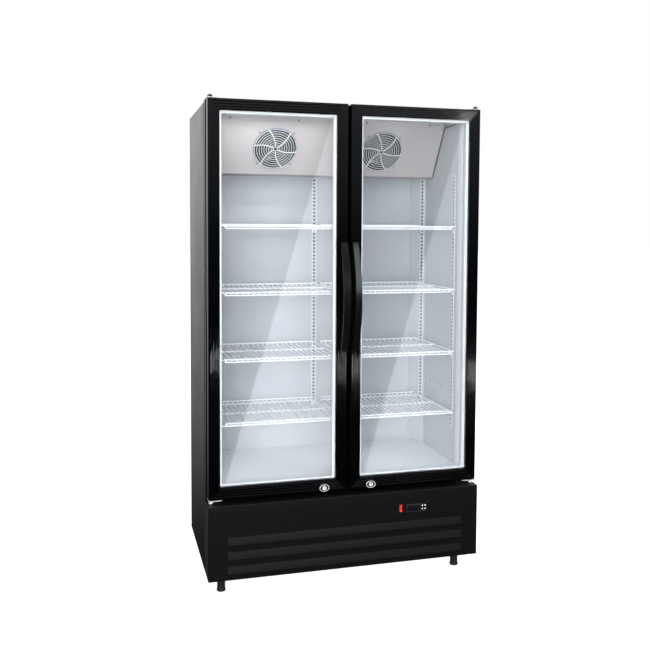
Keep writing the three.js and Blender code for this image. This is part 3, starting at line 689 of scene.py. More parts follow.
def top_hinge(low, high):
    """Tapered plate over the frame with its screws, the pin, and a black cone bolt over the pin."""
    floor = FRAME_HIGH.z + 0.3 * MM
    roof = floor + HINGE_PLATE
    front, back = low.y, high.y
    outline = [
        (HINGE_OUT, front), (HINGE_OUT, back), (HINGE_IN, back), (HINGE_IN, front + 36 * MM),
        (HINGE_IN + 22 * MM, front + 2 * MM),
    ]
    plate = softened(prism(outline, floor, roof, "z"), 0.7 * MM)
    block_low = (HINGE_IN, FRAME_HIGH.y + 0.3 * MM, low.z + 1 * MM)
    plate.take(rounded_box(block_low, (HINGE_OUT, back, floor + 0.5 * MM), 0.6 * MM))
    pin = [(0, low.z), (4 * MM, low.z), (4 * MM, floor + 1 * MM), (0, floor + 1 * MM)]
    plate.take(upright(pin, 24, PIVOT))
    for x in (515 * MM, 543 * MM):
        plate.take(screw_head((x, back - 14 * MM, roof), (0, 0, 1), 5 * MM))
    bolt = [
        (0, roof - 0.5 * MM), (13 * MM, roof - 0.5 * MM), (12.6 * MM, roof + 1.5 * MM),
        (7.4 * MM, high.z - 1.2 * MM), (6.2 * MM, high.z), (0, high.z),
    ]
    plate.take(upright(bolt, 6, (PIVOT[0] - 1 * MM, PIVOT[1])), 1)
    return plate


def bottom_hinge(low, high):
    """Plate under the door with a flange on the frame, a washer, the pin and its nut."""
    top = DOOR_LOW.z - 2.5 * MM
    under = top - HINGE_PLATE
    outline = [
        (HINGE_OUT - 1 * MM, low.y + 5 * MM), (HINGE_OUT - 1 * MM, low.y + 40 * MM),
        (HINGE_OUT - 9 * MM, high.y), (HINGE_IN, high.y),
        (HINGE_IN, low.y + 8 * MM), (HINGE_IN + 8 * MM, low.y), (HINGE_OUT - 4 * MM, low.y),
    ]
    plate = softened(prism(outline, under, top, "z"), 0.7 * MM)
    flange_low = (HINGE_IN, high.y - 3 * MM, FRAME_LOW.z + 2 * MM)
    plate.take(rounded_box(flange_low, (HINGE_OUT - 9 * MM, high.y, top - 1 * MM), 0.6 * MM))
    foot = top - 1 * MM
    pin = [(0, foot), (4 * MM, foot), (4 * MM, high.z - 1 * MM), (3 * MM, high.z), (0, high.z)]
    plate.take(upright(pin, 24, PIVOT))
    face, rise = top - 0.5 * MM, DOOR_LOW.z - 0.3 * MM
    plate.take(upright([(0, face), (9 * MM, face), (9 * MM, rise), (0, rise)], 24, PIVOT))
    nut = [
        (0, low.z), (6.8 * MM, low.z), (8 * MM, low.z + 1.2 * MM), (8 * MM, under - 1 * MM),
        (6.8 * MM, under + 0.5 * MM), (0, under + 0.5 * MM),
    ]
    plate.take(upright(nut, 6, PIVOT), 2)
    for x in (511 * MM, 528 * MM):
        plate.take(screw_head((x, low.y + 26 * MM, under), (0, 0, -1), 4 * MM))
    return plate


def make_hinges():
    top_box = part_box("hinge_top_right")
    bottom_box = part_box("hinge_bottom_right")
    for side, sign in SIDES.items():
        mirror = sign < 0
        finish = [ZINC, BLACK_PLASTIC, LOCK_METAL]
        piece(
            "hinge_plate_top_" + side, top_hinge(*top_box), finish,
            "cabinet", ["hinge_top_" + side], 30, mirror,
        )
        piece(
            "hinge_plate_bottom_" + side, bottom_hinge(*bottom_box), finish,
            "cabinet", ["hinge_bottom_" + side], 30, mirror,
        )


make_hinges()


# ---- inside: trims, standards, clips ------------------------------------------------------------
SLOT_PITCH = 16.2 * MM
SLOT_HEIGHT = 8.4 * MM
SLOT_HALF = 4.7 * MM
TOP_SLOT = 11 * MM  # from the strip's upper end down to its first slot's middle


def slotted_strip(width, thick, z0, z1):
    """A channel strip standing at x = 0 with its face at y = -thick / 2, punched with a row of slots."""
    shape = Shape()
    half, depth = width / 2, thick / 2
    lip = 1.0 * MM
    section = [(-half, depth), (-half, -depth + lip), (-half + lip, -depth), (-SLOT_HALF, -depth)]
    columns = section + [(-x, y) for x, y in reversed(section)]
    count = int((z1 - z0 - TOP_SLOT - SLOT_HEIGHT) / SLOT_PITCH) + 1
    start = z1 - TOP_SLOT - (count - 1) * SLOT_PITCH
    levels = [z0]
    for i in range(count):
        middle = start + i * SLOT_PITCH
        levels += [middle - SLOT_HEIGHT / 2, middle + SLOT_HEIGHT / 2]
    levels.append(z1)
    for z in levels:
        shape.points += [Vector((x, y, z)) for x, y in columns]
    width_count = len(columns)
    for row in range(len(levels) - 1):
        open_row = row % 2 == 1
        for c in range(width_count - 1):
            a, b = row * width_count + c, row * width_count + c + 1
            # An open slot is a closed box in the second material, whose near black is painted shade for the
            # punched hole.
            if open_row and c == 3:
                front = [shape.points[i].copy() for i in (a, b, b + width_count, a + width_count)]
                back = [p + Vector((0, thick * 0.8, 0)) for p in front]
                walls = [[0, 1, 5, 4], [1, 2, 6, 5], [2, 3, 7, 6], [3, 0, 4, 7]]
                shape.add(back + front, [[0, 1, 2, 3]] + walls, 1)
                continue
            shape.faces.append([a, b, b + width_count, a + width_count])
            shape.numbers.append(0)
    return shape


def standard_places():
    """Name, middle point and angle about Z of each strip, from the CAD boxes."""
    corner = math.atan2(ROOM_CORNER[1][1] - ROOM_CORNER[0][1], ROOM_CORNER[1][0] - ROOM_CORNER[0][0])
    yield "shelf_standard_centre", 0.0
    for side, sign in SIDES.items():
        yield "shelf_standard_front_" + side, -sign * math.pi / 2
        yield "shelf_standard_rear_" + side, (corner - math.pi) * sign


BACK_LOW, BACK_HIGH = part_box("liner_back")
CORNER_SIDE = (WALL_LOW.x, WALL_HIGH.y)
CORNER_BACK = (458 * MM, BACK_HIGH.y - 0.8 * MM)
ROOM_CORNER = (CORNER_SIDE, CORNER_BACK)
STANDARD_WIDTH, STANDARD_THICK = 24 * MM, 2.4 * MM


def make_standards():
    for node, angle in standard_places():
        low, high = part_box(node)
        strip = slotted_strip(STANDARD_WIDTH, STANDARD_THICK, low.z, high.z)
        centre = (low + high) / 2
        strip.moved(Matrix.Translation((centre.x, centre.y, 0)) @ Matrix.Rotation(angle, 4, "Z"))
        name = node.replace("shelf_standard", "slotted_strip")
        piece(name, strip, [STRIP_WHITE, SLOT_DARK], "cabinet", [node])


BREAKER_FLANGE = 9.5 * MM
OPENING_SIDE = 42 * MM  # from the middle of the merchandiser to each door opening
OPENING_LOW, OPENING_HIGH = 432 * MM, 1870 * MM


def make_breakers():
    """Pale plastic strips that line the door openings, each with a flange on the frame's face."""
    hole_low = Vector((OPENING_SIDE, FRAME_LOW.y, OPENING_LOW))
    hole_high = Vector((WALL_LOW.x, FRAME_HIGH.y, OPENING_HIGH))
    y0, y1 = FRAME_LOW.y - 0.1 * MM, FRAME_HIGH.y + 2 * MM
    flange = -BREAKER_FLANGE
    section = [
        (flange, y0), (0.6 * MM, y0), (1.8 * MM, y0 + 1.2 * MM), (1.8 * MM, y1), (0.1 * MM, y1),
        (0.1 * MM, y0 + 1.4 * MM), (flange, y0 + 0.1 * MM),
    ]
    for side, sign in SIDES.items():
        piece(
            "breaker_strip_" + side, ring_members(hole_low, hole_high, section),
            [TRIM_WHITE], "cabinet", (), 35, sign < 0,
        )


def shelf_nodes():
    for level in range(1, 5):
        for side in SIDES:
            yield level, side, "shelf_%d_%s" % (level, side)


def clip(place, out, across):
    """A bent support clip: a hooked plate under the shelf's edge wire."""
    outline = [(0, 0), (11, 0), (13, 2.5), (13, 5), (11, 5), (10, 2.2), (3, 2.2)]
    outline += [(2.2, -4), (2.2, -17), (0, -20)]
    shape = prism([(a * MM, b * MM) for a, b in outline], -4.5 * MM, 4.5 * MM, "y")
    basis = Matrix((
        (out[0], across[0], 0, place[0]),
        (out[1], across[1], 0, place[1]),
        (0, 0, 1, place[2]),
        (0, 0, 0, 1),
    ))
    return shape.moved(basis)


def make_clips():
    rear_low, rear_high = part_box("shelf_standard_rear_right")
    rear_y = (rear_low.y + rear_high.y) / 2
    front_low, front_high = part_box("shelf_standard_front_right")
    front_y = (front_low.y + front_high.y) / 2
    centre_low, centre_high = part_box("shelf_standard_centre")
    centre_x = (centre_low.x + centre_high.x) / 2
    for level in range(1, 5):
        low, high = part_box("shelf_%d_right" % level)
        z = low.z - 2.4 * MM
        clips = Shape()
        for sign in SIDES.values():
            clips.take(clip((sign * front_low.x, front_y, z), (-sign, 0), (0, 1)))
            clips.take(clip((sign * rear_low.x, rear_y - 8 * MM, z), (-sign, 0), (0, 1)))
        for shift in (-6 * MM, 6 * MM):
            clips.take(clip((centre_x + shift, centre_low.y, z), (0, -1), (1, 0)))
        piece("shelf_clips_%d" % level, clips, [WIRE_WHITE], "cabinet")


WIRE = 2.15 * MM
RIM = 3.1 * MM
WIRE_COUNT = 21
LIP_DROP = 10 * MM
LIP_INSET = 18 * MM
CROSS_BACK = 212 * MM  # from the front rim back to the cross wire
BACK_RISE = 6 * MM


def wire_shelf(low, high, turned):
    """Round-wire shelf. Turned over, its front lip and back edge stand up above the rim."""
    shape = Shape()
    level = high.z - RIM
    x0, x1 = 13 * MM, max(abs(low.x), abs(high.x)) - RIM
    y0, y1 = low.y + RIM, high.y - RIM
    corner_x, corner_y = x1 - 24 * MM, y1 - 41 * MM
    back = level if turned else level + BACK_RISE
    rim = [
        (x0, y0, level), (x1, y0, level), (x1, corner_y, level), (corner_x, y1, back), (x0, y1, back),
        (x0, y1 - 24 * MM, level),
    ]
    shape.take(tube(filleted(rim, 3.5 * MM, True), RIM, 10, True))
    shape.take(tube([(x0, y0 + CROSS_BACK, level), (x1, y0 + CROSS_BACK, level)], RIM * 0.9, 8))
    up = 1 if turned else -1
    lip_z = level + up * LIP_DROP
    wire_z = level + up * (RIM + WIRE - 0.4 * MM)
    lip = [
        (x0 + LIP_INSET - 2 * MM, y0, level), (x0 + LIP_INSET, y0 - 0.5 * MM, lip_z),
        (x1 - LIP_INSET, y0 - 0.5 * MM, lip_z), (x1 - LIP_INSET + 2 * MM, y0, level),
    ]
    shape.take(tube(filleted(lip, 3 * MM), RIM * 0.85, 8))
    back_z = lip_z + 4 * MM if turned else back - RIM
    if turned:
        shape.take(tube([(x0 + 4 * MM, y1, back_z), (corner_x - 4 * MM, y1, back_z)], RIM * 0.8, 8))
    pitch = (x1 - x0) / (WIRE_COUNT + 1)
    for i in range(1, WIRE_COUNT + 1):
        x = x0 + i * pitch
        end = y1 if x < corner_x else y1 - (x - corner_x) * (y1 - corner_y) / (x1 - corner_x)
        front = level if x < x0 + LIP_INSET or x > x1 - LIP_INSET else lip_z
        path = [(x, y0 + 2 * MM, front), (x, y0 + 3 * MM, wire_z), (x, end - 12 * MM, wire_z)]
        path.append((x, end - 2 * MM, back_z if x < corner_x else level))
        shape.take(tube(filleted(path, 4 * MM, steps=2), WIRE, 7))
    return shape


def make_shelves():
    for level, side, node in shelf_nodes():
        low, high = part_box(node)
        shelf = wire_shelf(low, high, level == 1)
        piece("wire_" + node, shelf, [WIRE_WHITE], node, [node], 40, side == "left")


make_standards()
make_breakers()
make_clips()
make_shelves()


# ---- evaporator cover: guards, fans, screws -----------------------------------------------------
COVER_LOW, COVER_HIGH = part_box("evaporator_cover")
SLOPE_TOP = Vector((0, FACE_Y + 242 * MM, 1870 * MM))
SLOPE_EDGE = Vector((0, FACE_Y + 369 * MM, 1664 * MM))
SLOPE = SLOPE_EDGE - SLOPE_TOP
SLOPE_OUT = Vector((0, SLOPE.z, -SLOPE.y)).normalized()
FAN_ALONG = 0.505
FAN_X = 235 * MM


def fan_matrix(sign):
    """Local +Z points out of the cover, local +X to the right seen from the front."""
    up = -SLOPE.normalized()
    right = up.cross(SLOPE_OUT)
    place = SLOPE_TOP + SLOPE * FAN_ALONG + Vector((sign * FAN_X, 0, 0))
    return Matrix((
        (right.x, up.x, SLOPE_OUT.x, place.x),
        (right.y, up.y, SLOPE_OUT.y, place.y),
        (right.z, up.z, SLOPE_OUT.z, place.z),
        (0, 0, 0, 1),
    ))


GUARD_RADIUS = 89 * MM
GUARD_PITCH = 10.0 * MM
GUARD_WIRE = 1.05 * MM
GUARD_SPOKES = 6
SPOKE_START, SPOKE_TWIST = 353, 21  # degrees


def fan_guard():
    """Round wires and bent spokes in front of the fan, on a thin rim that meets the cover; the rim's blue
    grey is painted shade along the guard's edge.
    """
    shape = Shape()
    height = 4.5 * MM
    rim = [(91, 0.3), (91, 2.2), (92.2, 3.2), (94.0, 2.6), (95.0, 1.0), (95.1, 0.3), (91, 0.3)]
    shape.take(lathe([(r * MM, h * MM) for r, h in rim], 64), 1)
    for i in range(9):
        path = [(x, y, height) for x, y in arc((0, 0), 9 * MM + i * GUARD_PITCH, 0, 360, 16 + 6 * i)][:-1]
        shape.take(tube(path, GUARD_WIRE, 6, True))
    for k in range(GUARD_SPOKES):
        path = []
        for i in range(15):
            t = i / 14
            a = math.radians(SPOKE_START + k * 360 / GUARD_SPOKES - SPOKE_TWIST * (1 - t))
            radius = 8 * MM + (GUARD_RADIUS + 4 * MM - 8 * MM) * t
            path.append((radius * math.cos(a), radius * math.sin(a), height - 1.2 * MM))
        shape.take(tube(path, GUARD_WIRE * 1.5, 6))
    return shape


def fan_motor():
    """The motor can behind the blades with its three arms, in a black shroud closed at the back: the closed
    back is painted shade for the dark behind the fan.
    """
    shape = lathe([(0, -76), (24, -76), (26, -73), (26, -40), (24, -37), (10, -36), (0, -36)], 28)
    shape.take(lathe([(0, -78), (90, -77), (90, -2), (91, -2), (91, -79), (0, -79)], 48))
    shape.moved(Matrix.Scale(MM, 4))
    for k in range(3):
        turn = Matrix.Rotation(2 * math.pi * k / 3 + math.pi / 6, 4, "Z")
        arm = [(22, 0, -48), (84, 0, -48), (88, 0, -44), (88, 0, 1)]
        wire = tube([(x * MM, y * MM, z * MM) for x, y, z in arm], 2.4 * MM, 8)
        shape.take(wire.moved(turn))
    return shape


def fan_blades(radius, hub, depth, count, chord, pitch):
    """Hub and curved, pitched blades about Z."""
    half = depth / 2
    shape = lathe([(0, half), (hub * 0.8, half), (hub, half - hub * 0.15), (hub, -half), (0, -half)], 28)
    rows, columns = 7, 6
    for k in range(count):
        blade = Shape()
        for face in (1, -1):
            for i in range(rows):
                t = i / (rows - 1)
                r = hub * 0.9 + (radius - hub * 0.9) * t
                wide = chord * (0.75 + 0.35 * t) * (1 - 0.25 * t**4)
                for j in range(columns):
                    s = j / (columns - 1) - 0.5
                    a = (s * wide + 0.18 * chord * t) / max(r, hub)
                    z = -math.tan(pitch) * s * wide + 0.012 * (0.25 - s * s) * 4 * t * chord / 0.06 * 0.5
                    blade.points.append(
                        Vector((r * math.cos(a), r * math.sin(a), z + face * 0.7 * MM))
                    )
        size = rows * columns
        for i in range(rows - 1):
            for j in range(columns - 1):
                a = i * columns + j
                blade.faces.append([a, a + 1, a + columns + 1, a + columns])
                blade.faces.append([size + a, size + a + columns, size + a + columns + 1, size + a + 1])
        rim = [j for j in range(columns)]
        rim += [i * columns + columns - 1 for i in range(1, rows)]
        rim += [(rows - 1) * columns + j for j in range(columns - 2, -1, -1)]
        rim += [i * columns for i in range(rows - 2, 0, -1)]
        for a, b in zip(rim, rim[1:] + rim[:1]):
            blade.faces.append([a, b, size + b, size + a])
        blade.numbers = [0] * len(blade.faces)
        shape.take(blade.moved(Matrix.Rotation(2 * math.pi * k / count, 4, "Z")))
    return shape


def cover_gap_shade():
    """A dark strip along the gap between one end of the cover and the wall: painted shade for the shadowed
    gap.
    """
    x = COVER_HIGH.x + 2.0 * MM
    run = [
        (x, SLOPE_TOP.y - 150 * MM, SLOPE_TOP.z + 4 * MM), (x, SLOPE_TOP.y - 4 * MM, SLOPE_TOP.z - 1 * MM),
        (x, SLOPE_TOP.y + 1 * MM, SLOPE_TOP.z - 5 * MM), (x, SLOPE_EDGE.y, SLOPE_EDGE.z + 1 * MM),
    ]
    return tube(run, 1.9 * MM, 8)


def make_cover_details():
    screws = Shape()
    for sign in (-1, 1):
        for x in (148 * MM, 435 * MM):
            screws.take(screw_head((sign * x, SLOPE_TOP.y, SLOPE_TOP.z + 9 * MM), (0, -1, 0)))
        matrix = fan_matrix(sign)
        for angle in (45, 135, 225, 315):
            a = math.radians(angle)
            place = matrix @ Vector((102 * MM * math.cos(a), 102 * MM * math.sin(a), 0.2 * MM))
            screws.take(screw_head(place, SLOPE_OUT, 3.2 * MM))
    piece("cover_screws", screws, [SLOT_DARK], "cabinet")
    lip_outline = [(-0.6, 0.8), (-3.6, 1.5), (-3.9, -0.2), (-2.4, -1.6), (2, -1.6), (2, -0.2)]
    lip = prism(
        [(SLOPE_EDGE.y + y * MM, SLOPE_EDGE.z + z * MM) for y, z in lip_outline],
        COVER_LOW.x, COVER_HIGH.x, "x",
    )
    piece("cover_lip", lip, [COVER_GREY], "cabinet")
    for side, sign in SIDES.items():
        # The dark strips at the cover's ends are painted shade for the gaps there.
        piece("cover_gap_shade_" + side, cover_gap_shade(), [BLACK_PLASTIC], "cabinet", (), 35, sign < 0)
        matrix = fan_matrix(sign)
        guard = fan_guard()
        motor = fan_motor()
        piece(
            "guard_rings_" + side, guard.moved(matrix), [WIRE_WHITE, GUARD_RIM_SHADE],
            "cabinet", ["fan_guard_" + side],
        )
        piece("fan_motor_" + side, motor.moved(matrix), [HOLLOW_SHADE_BLACK], "cabinet")
        blades = fan_blades(80 * MM, 20 * MM, 22 * MM, 5, 62 * MM, math.radians(24))
        blades.moved(matrix @ Matrix.Translation((0, 0, -20 * MM)))
        piece(
            "fan_rotor_" + side, blades, [BLACK_PLASTIC],
            "evaporator_fan_" + side, ["evaporator_fan_" + side],
        )


def make_condenser_fan():
    low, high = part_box("condenser_fan")
    centre = (low + high) / 2
    blades = fan_blades(104 * MM, 24 * MM, 26 * MM, 5, 74 * MM, math.radians(24))
    matrix = Matrix.Translation((230 * MM, centre.y, 217 * MM)) @ Matrix.Rotation(math.pi / 2, 4, "X")
    piece(
        "condenser_rotor", blades.moved(matrix), [BLACK_PLASTIC],
        "condenser_fan", ["condenser_fan"],
    )


make_cover_details()
make_condenser_fan()


# ---- corner covers ------------------------------------------------------------------------------
def make_corner_covers():
    """A raised pale strip down each cut-off rear corner, with its screws."""
    (ax, ay), (bx, by) = ROOM_CORNER
    run = Vector((bx - ax, by - ay, 0))
    along = run.normalized()
    inward = Vector((-along.y, along.x, 0))
    start = Vector((ax, ay, 0)) + along * 34 * MM
    width = run.length - 36 * MM
    z0 = WALL_LOW.z + 6 * MM
    z1 = COVER_LOW.z - 3 * MM
    wide = width / MM
    section = [(0, 0.3), (0, 1.8), (1.0, 2.6), (wide - 1, 2.6), (wide, 1.8), (wide, 0.3)]
    for side, sign in SIDES.items():
        shape = Shape()
        for z in (z0, z1):
            for a, b in section:
                shape.points.append(start + along * (a * MM) + inward * (b * MM) + Vector((0, 0, z)))
        count = len(section)
        shape.faces = [list(range(count)), list(range(count, 2 * count))] + band(0, count, count)
        shape.numbers = [0] * len(shape.faces)
        for z in (z0 + 14 * MM, z1 - 14 * MM):
            place = start + along * (width * 0.5) + inward * (2.6 * MM) + Vector((0, 0, z))
            shape.take(screw_head(place, inward, 2.6 * MM), 1)
        piece(
            "corner_cover_" + side, shape, [LINER_WHITE, SLOT_DARK],
            "cabinet", (), 35, sign < 0,
        )


make_corner_covers()


# ---- base: louvred panel, controls, feet --------------------------------------------------------
LOUVRE_BOTTOMS = (25, 82, 139)
LOUVRE_HEIGHT = 29
LOUVRE_HALF = 490
BASE_Y = FACE_Y - 14 * MM
FLOOR_Z = BASE_LOW.z


def grid_sheet(xs, rows, skip):
    """A sheet over columns xs and rows of (z, function of x giving y); skip(x, z, row) leaves a cell out."""
    shape = Shape()
    for z, depth in rows:
        shape.points += [Vector((x, depth(x), z)) for x in xs]
    wide = len(xs)
    for r in range(len(rows) - 1):
        for c in range(wide - 1):
            x = (xs[c] + xs[c + 1]) / 2
            z = (rows[r][0] + rows[r + 1][0]) / 2
            if skip(x, z, r):
                continue
            a = r * wide + c
            shape.faces.append([a, a + 1, a + wide + 1, a + wide])
    shape.numbers = [0] * len(shape.faces)
    return shape


def base_panel():
    """Front sheet with a rolled top edge, pressed louvres that are open underneath, and side returns."""
    half = BASE_HIGH.x
    flat = lambda x: BASE_Y
    switch_low, switch_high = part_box("power_switch")
    control_low, control_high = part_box("controller")
    grow, shrink = 2.2 * MM, 2 * MM
    holes = [
        (switch_low.x - grow, switch_high.x + grow, switch_low.z - grow, switch_high.z + grow),
        (control_low.x + shrink, control_high.x - shrink, control_low.z + shrink, control_high.z - shrink),
    ]

    def hood(reach):
        def depth(x):
            over = abs(x) - (LOUVRE_HALF - 4) * MM
            share = 1 if over <= 0 else max(0, 1 - over / (4 * MM))
            return BASE_Y - reach * share * MM
        return depth

    rows = [(FLOOR_Z, flat)]
    open_rows = set()
    for bottom in LOUVRE_BOTTOMS:
        z0 = FLOOR_Z + bottom * MM
        rows.append((z0, flat))
        open_rows.add(len(rows) - 1)
        rows.append((z0, hood(9.4)))
        rows.append((z0 + 0.8 * MM, hood(9.9)))
        rows.append((z0 + 2.0 * MM, hood(9.6)))
        rows.append((z0 + (LOUVRE_HEIGHT - 1.2) * MM, hood(2.4)))
        rows.append((z0 + (LOUVRE_HEIGHT - 0.2) * MM, hood(1.6)))
        rows.append((z0 + (LOUVRE_HEIGHT + 0.4) * MM, flat))
    levels = sorted({z for hole in holes for z in hole[2:]})
    rows += [(z, flat) for z in levels]
    radius = 3.0
    for i in range(1, 6):
        a = math.radians(90 * i / 5)
        y = radius * (1 - math.cos(a))
        z = BASE_HIGH.z - radius * MM + radius * MM * math.sin(a)
        rows.append((z, lambda x, y=y: BASE_Y + y * MM))
    rows.append((BASE_HIGH.z, lambda x: FRAME_HIGH.y))
    rows.insert(len(rows) - 6, (BASE_HIGH.z - radius * MM, flat))
    edge = LOUVRE_HALF * MM
    hole_sides = {x for hole in holes for x in hole[:2]}
    xs = sorted({-half, half, -edge, edge, -edge + 4 * MM, edge - 4 * MM, 0.0} | hole_sides)

    def skip(x, z, row):
        if row in open_rows:
            return abs(x) < edge - 4 * MM
        return any(a < x < b and c < z < d for a, b, c, d in holes)

    sheet = grid_sheet(xs, rows, skip)
    outline = [(BASE_Y, FLOOR_Z), (FRAME_HIGH.y, FLOOR_Z), (FRAME_HIGH.y, BASE_HIGH.z)]
    outline += [(BASE_Y + y * MM, BASE_HIGH.z - z * MM) for y, z in ((3, 0), (0.9, 0.9), (0, 3))]
    for sign in SIDES.values():
        sheet.take(prism(outline, sign * half, sign * (half - 1.2 * MM), "x"))
    return sheet


def rocker(low, high):
    """The switch's red rocker: waisted in the middle and dished from end to end."""
    middle_x = (low.x + high.x) / 2
    middle_z = (low.z + high.z) / 2
    half_x = (high.x - low.x) / 2
    half_z = (high.z - low.z) / 2
    rows = 16
    shape = Shape()
    for i in range(rows + 1):
        t = -1 + 2 * i / rows
        wide = half_x * (0.66 + 0.34 * abs(t) ** 1.4)
        front = low.y + (high.y - low.y) * (0.05 + 0.30 * (1 - t * t))
        z = middle_z + half_z * t
        section = [(-wide, high.y), (-wide, front + 0.8 * MM), (-wide + 0.8 * MM, front)]
        section += [(-x, y) for x, y in reversed(section)]
        shape.points += [Vector((middle_x + dx, y, z)) for dx, y in section]
    count = len(section)
    for i in range(rows):
        shape.faces += band(i * count, (i + 1) * count, count)
    shape.faces += [list(range(count)), list(range(rows * count, (rows + 1) * count))]
    shape.numbers = [0] * len(shape.faces)
    return shape


def switch_bezel():
    low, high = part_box("power_switch")
    edge = 4.5 * MM
    outer_low = Vector((low.x - edge, 0, low.z - edge))
    outer_high = Vector((high.x + edge, 0, high.z + edge))
    section = [(0, 0.2), (0, -1.2), (0.6, -2.0), (2.2, -2.2), (3.2, -1.6), (3.4, 3), (3.0, 3), (3.0, 0.2)]
    return ring_members(outer_low, outer_high, [(a * MM, BASE_Y + b * MM) for a, b in section])


def make_controls():
    low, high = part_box("controller")
    piece("switch_bezel", switch_bezel(), [BLACK_PLASTIC], "cabinet")
    piece(
        "switch_rocker", rocker(*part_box("power_switch")), [RED_PLASTIC],
        "power_switch", ["power_switch"], 40,
    )
    face_y = BASE_Y - 3.5 * MM
    bezel = rounded_box((low.x, face_y, low.z), (high.x, BASE_Y - 0.2 * MM, high.z), 1.2 * MM, 3)
    edge = 2.2 * MM
    body_low = (low.x + edge, BASE_Y - 1 * MM, low.z + edge)
    bezel.take(rounded_box(body_low, (high.x - edge, high.y, high.z - edge)))
    window = rounded_box(
        (low.x + 6 * MM, face_y - 0.5 * MM, low.z + 6 * MM),
        (low.x + 60 * MM, face_y + 0.5 * MM, high.z - 6 * MM),
        0.4 * MM,
    )
    bezel.take(window, 1)
    piece("control_face", bezel, [BLACK_PLASTIC, DISPLAY], "cabinet", ["controller"])
    for number in range(1, 5):
        node = "controller_key_%d" % number
        low_key, high_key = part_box(node)
        key = rounded_box(low_key, high_key, 1.0 * MM, 3)
        middle = (low_key + high_key) / 2
        # Each key's mark glows faintly: painted light, not a lamp.
        mark = rounded_box(
            (middle.x - 2.2 * MM, low_key.y - 0.3 * MM, middle.z - 1.7 * MM),
            (middle.x + 2.2 * MM, low_key.y + 0.4 * MM, middle.z + 1.7 * MM),
            0.3 * MM,
        )
        key.take(mark, 1)
        piece("key_cap_%d" % number, key, [BLACK_PLASTIC, KEY_MARK], node, [node])
    lamp = lathe([(0, 2.4), (1.4, 2.1), (2.2, 1.0), (2.4, 0), (0, 0)], 16).moved(Matrix.Scale(MM, 4))
    lamp_place = Matrix.Translation((high.x + 4 * MM, BASE_Y, high.z + 4 * MM))
    lamp.moved(lamp_place @ Matrix.Rotation(math.pi / 2, 4, "X"))
    piece("control_lamp", lamp, [SILVER_TRIM], "cabinet")


def make_base():
    piece("base_panel", base_panel(), [CHARCOAL], "cabinet", ["base_front_panel"], 30)
    outline = [
        (0, 0), (14, 0), (16.8, 0.8), (18, 2.5), (18.2, 5), (17.6, 8), (16.4, 10.5), (16, 13), (16, 67),
        (16.4, 69.5), (17.5, 72), (17.5, 80.5), (16.8, 81.6), (5, 81.7), (5, 97), (4, 98), (0, 98),
    ]
    for depth in ("front", "rear"):
        for side in SIDES:
            node = "foot_%s_%s" % (depth, side)
            low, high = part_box(node)
            foot = lathe([(r * MM, h * MM) for r, h in outline], 40)
            foot.moved(Matrix.Translation(((low.x + high.x) / 2, (low.y + high.y) / 2, low.z)))
            piece("leg_%s_%s" % (depth, side), foot, [FOOT_BLACK], node, [node])


make_base()
make_controls()


# ---- floor, lights, world -----------------------------------------------------------------------
def plain_stage(name, points, material):
    """A flat polygon that only serves the picture."""
    mesh = bpy.data.meshes.new(name)
    mesh.from_pydata(points, [], [list(range(len(points)))])
    mesh.materials.append(material)
    ob = bpy.data.objects.new(name, mesh)
    bpy.context.scene.collection.objects.link(ob)
    return ob


def shining(name, strength):
    n = Nodes(name)
    return n.finish(n.add("ShaderNodeEmission", {"Color": (1, 1, 1, 1), "Strength": strength}))


def make_floor():
    """A white floor whose light reaches the eye but not the object."""
    n = Nodes("floor_white")
    fine = n.noise(2, 2)
    shader = n.add(
        "ShaderNodeBsdfPrincipled",
        {
            "Base Color": (0.5, 0.5, 0.5, 1),
            "Roughness": n.spread(fine, 0.8, 0.9),
            "Specular IOR Level": 0.0,
            "Emission Color": (1, 1, 1, 1),
            "Emission Strength": 0.98,
        },
    )
    reach = 40
    corners = [(-reach, -reach, 0), (reach, -reach, 0), (reach, reach, 0), (-reach, reach, 0)]
    floor = plain_stage("floor", corners, n.finish(shader))
    floor.visible_glossy = False
    floor.visible_diffuse = False


def lit_only(light, nodes, keep):
    """Lets a stage light reach only these objects, or with keep false everything but these."""
    group = bpy.data.collections.new(light.name + "_reach")
    for ob in nodes:
        group.objects.link(ob)
    if not keep:
        for entry in group.collection_objects:
            entry.light_linking.link_state = "EXCLUDE"
    light.light_linking.receiver_collection = group


CARD_Y = -6.0
# x of the sheen's slanting edge at the top and at the bottom of each pane
SHEEN = {"left": (-63 * MM, -493 * MM), "right": (494 * MM, 72 * MM)}
SHEEN_STRENGTH = 1.35


def make_sheen_cards():
    """Pale cards before the doors, mirrored by the lower right half of each pane and by nothing else."""
    pane_y = GLASS_LOW.y
    low_z, high_z = GLASS_LOW.z + GLASS_GRIP, GLASS_HIGH.z - GLASS_GRIP
    near, far = GLASS_LOW.x + GLASS_GRIP, GLASS_HIGH.x - GLASS_GRIP
    eye = Vector(CAMERA_PLACE)
    grow = (2 * pane_y - eye.y - CARD_Y) / (pane_y - eye.y)
    material = shining("sheen_card", SHEEN_STRENGTH)
    panes = bpy.data.collections.new("sheen_receivers")
    for side in SIDES:
        panes.objects.link(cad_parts["glass_unit_" + side])
    for side, (top_x, bottom_x) in SHEEN.items():
        right = far if side == "right" else -near
        on_pane = [(top_x, high_z), (right, high_z), (right, low_z), (bottom_x, low_z)]
        corners = [(eye.x + grow * (x - eye.x), CARD_Y, eye.z + grow * (z - eye.z)) for x, z in on_pane]
        card = plain_stage("sheen_card_" + side, corners, material)
        card.light_linking.receiver_collection = panes
        card.visible_camera = False
        card.visible_diffuse = False
        card.visible_shadow = False
        card.visible_transmission = False


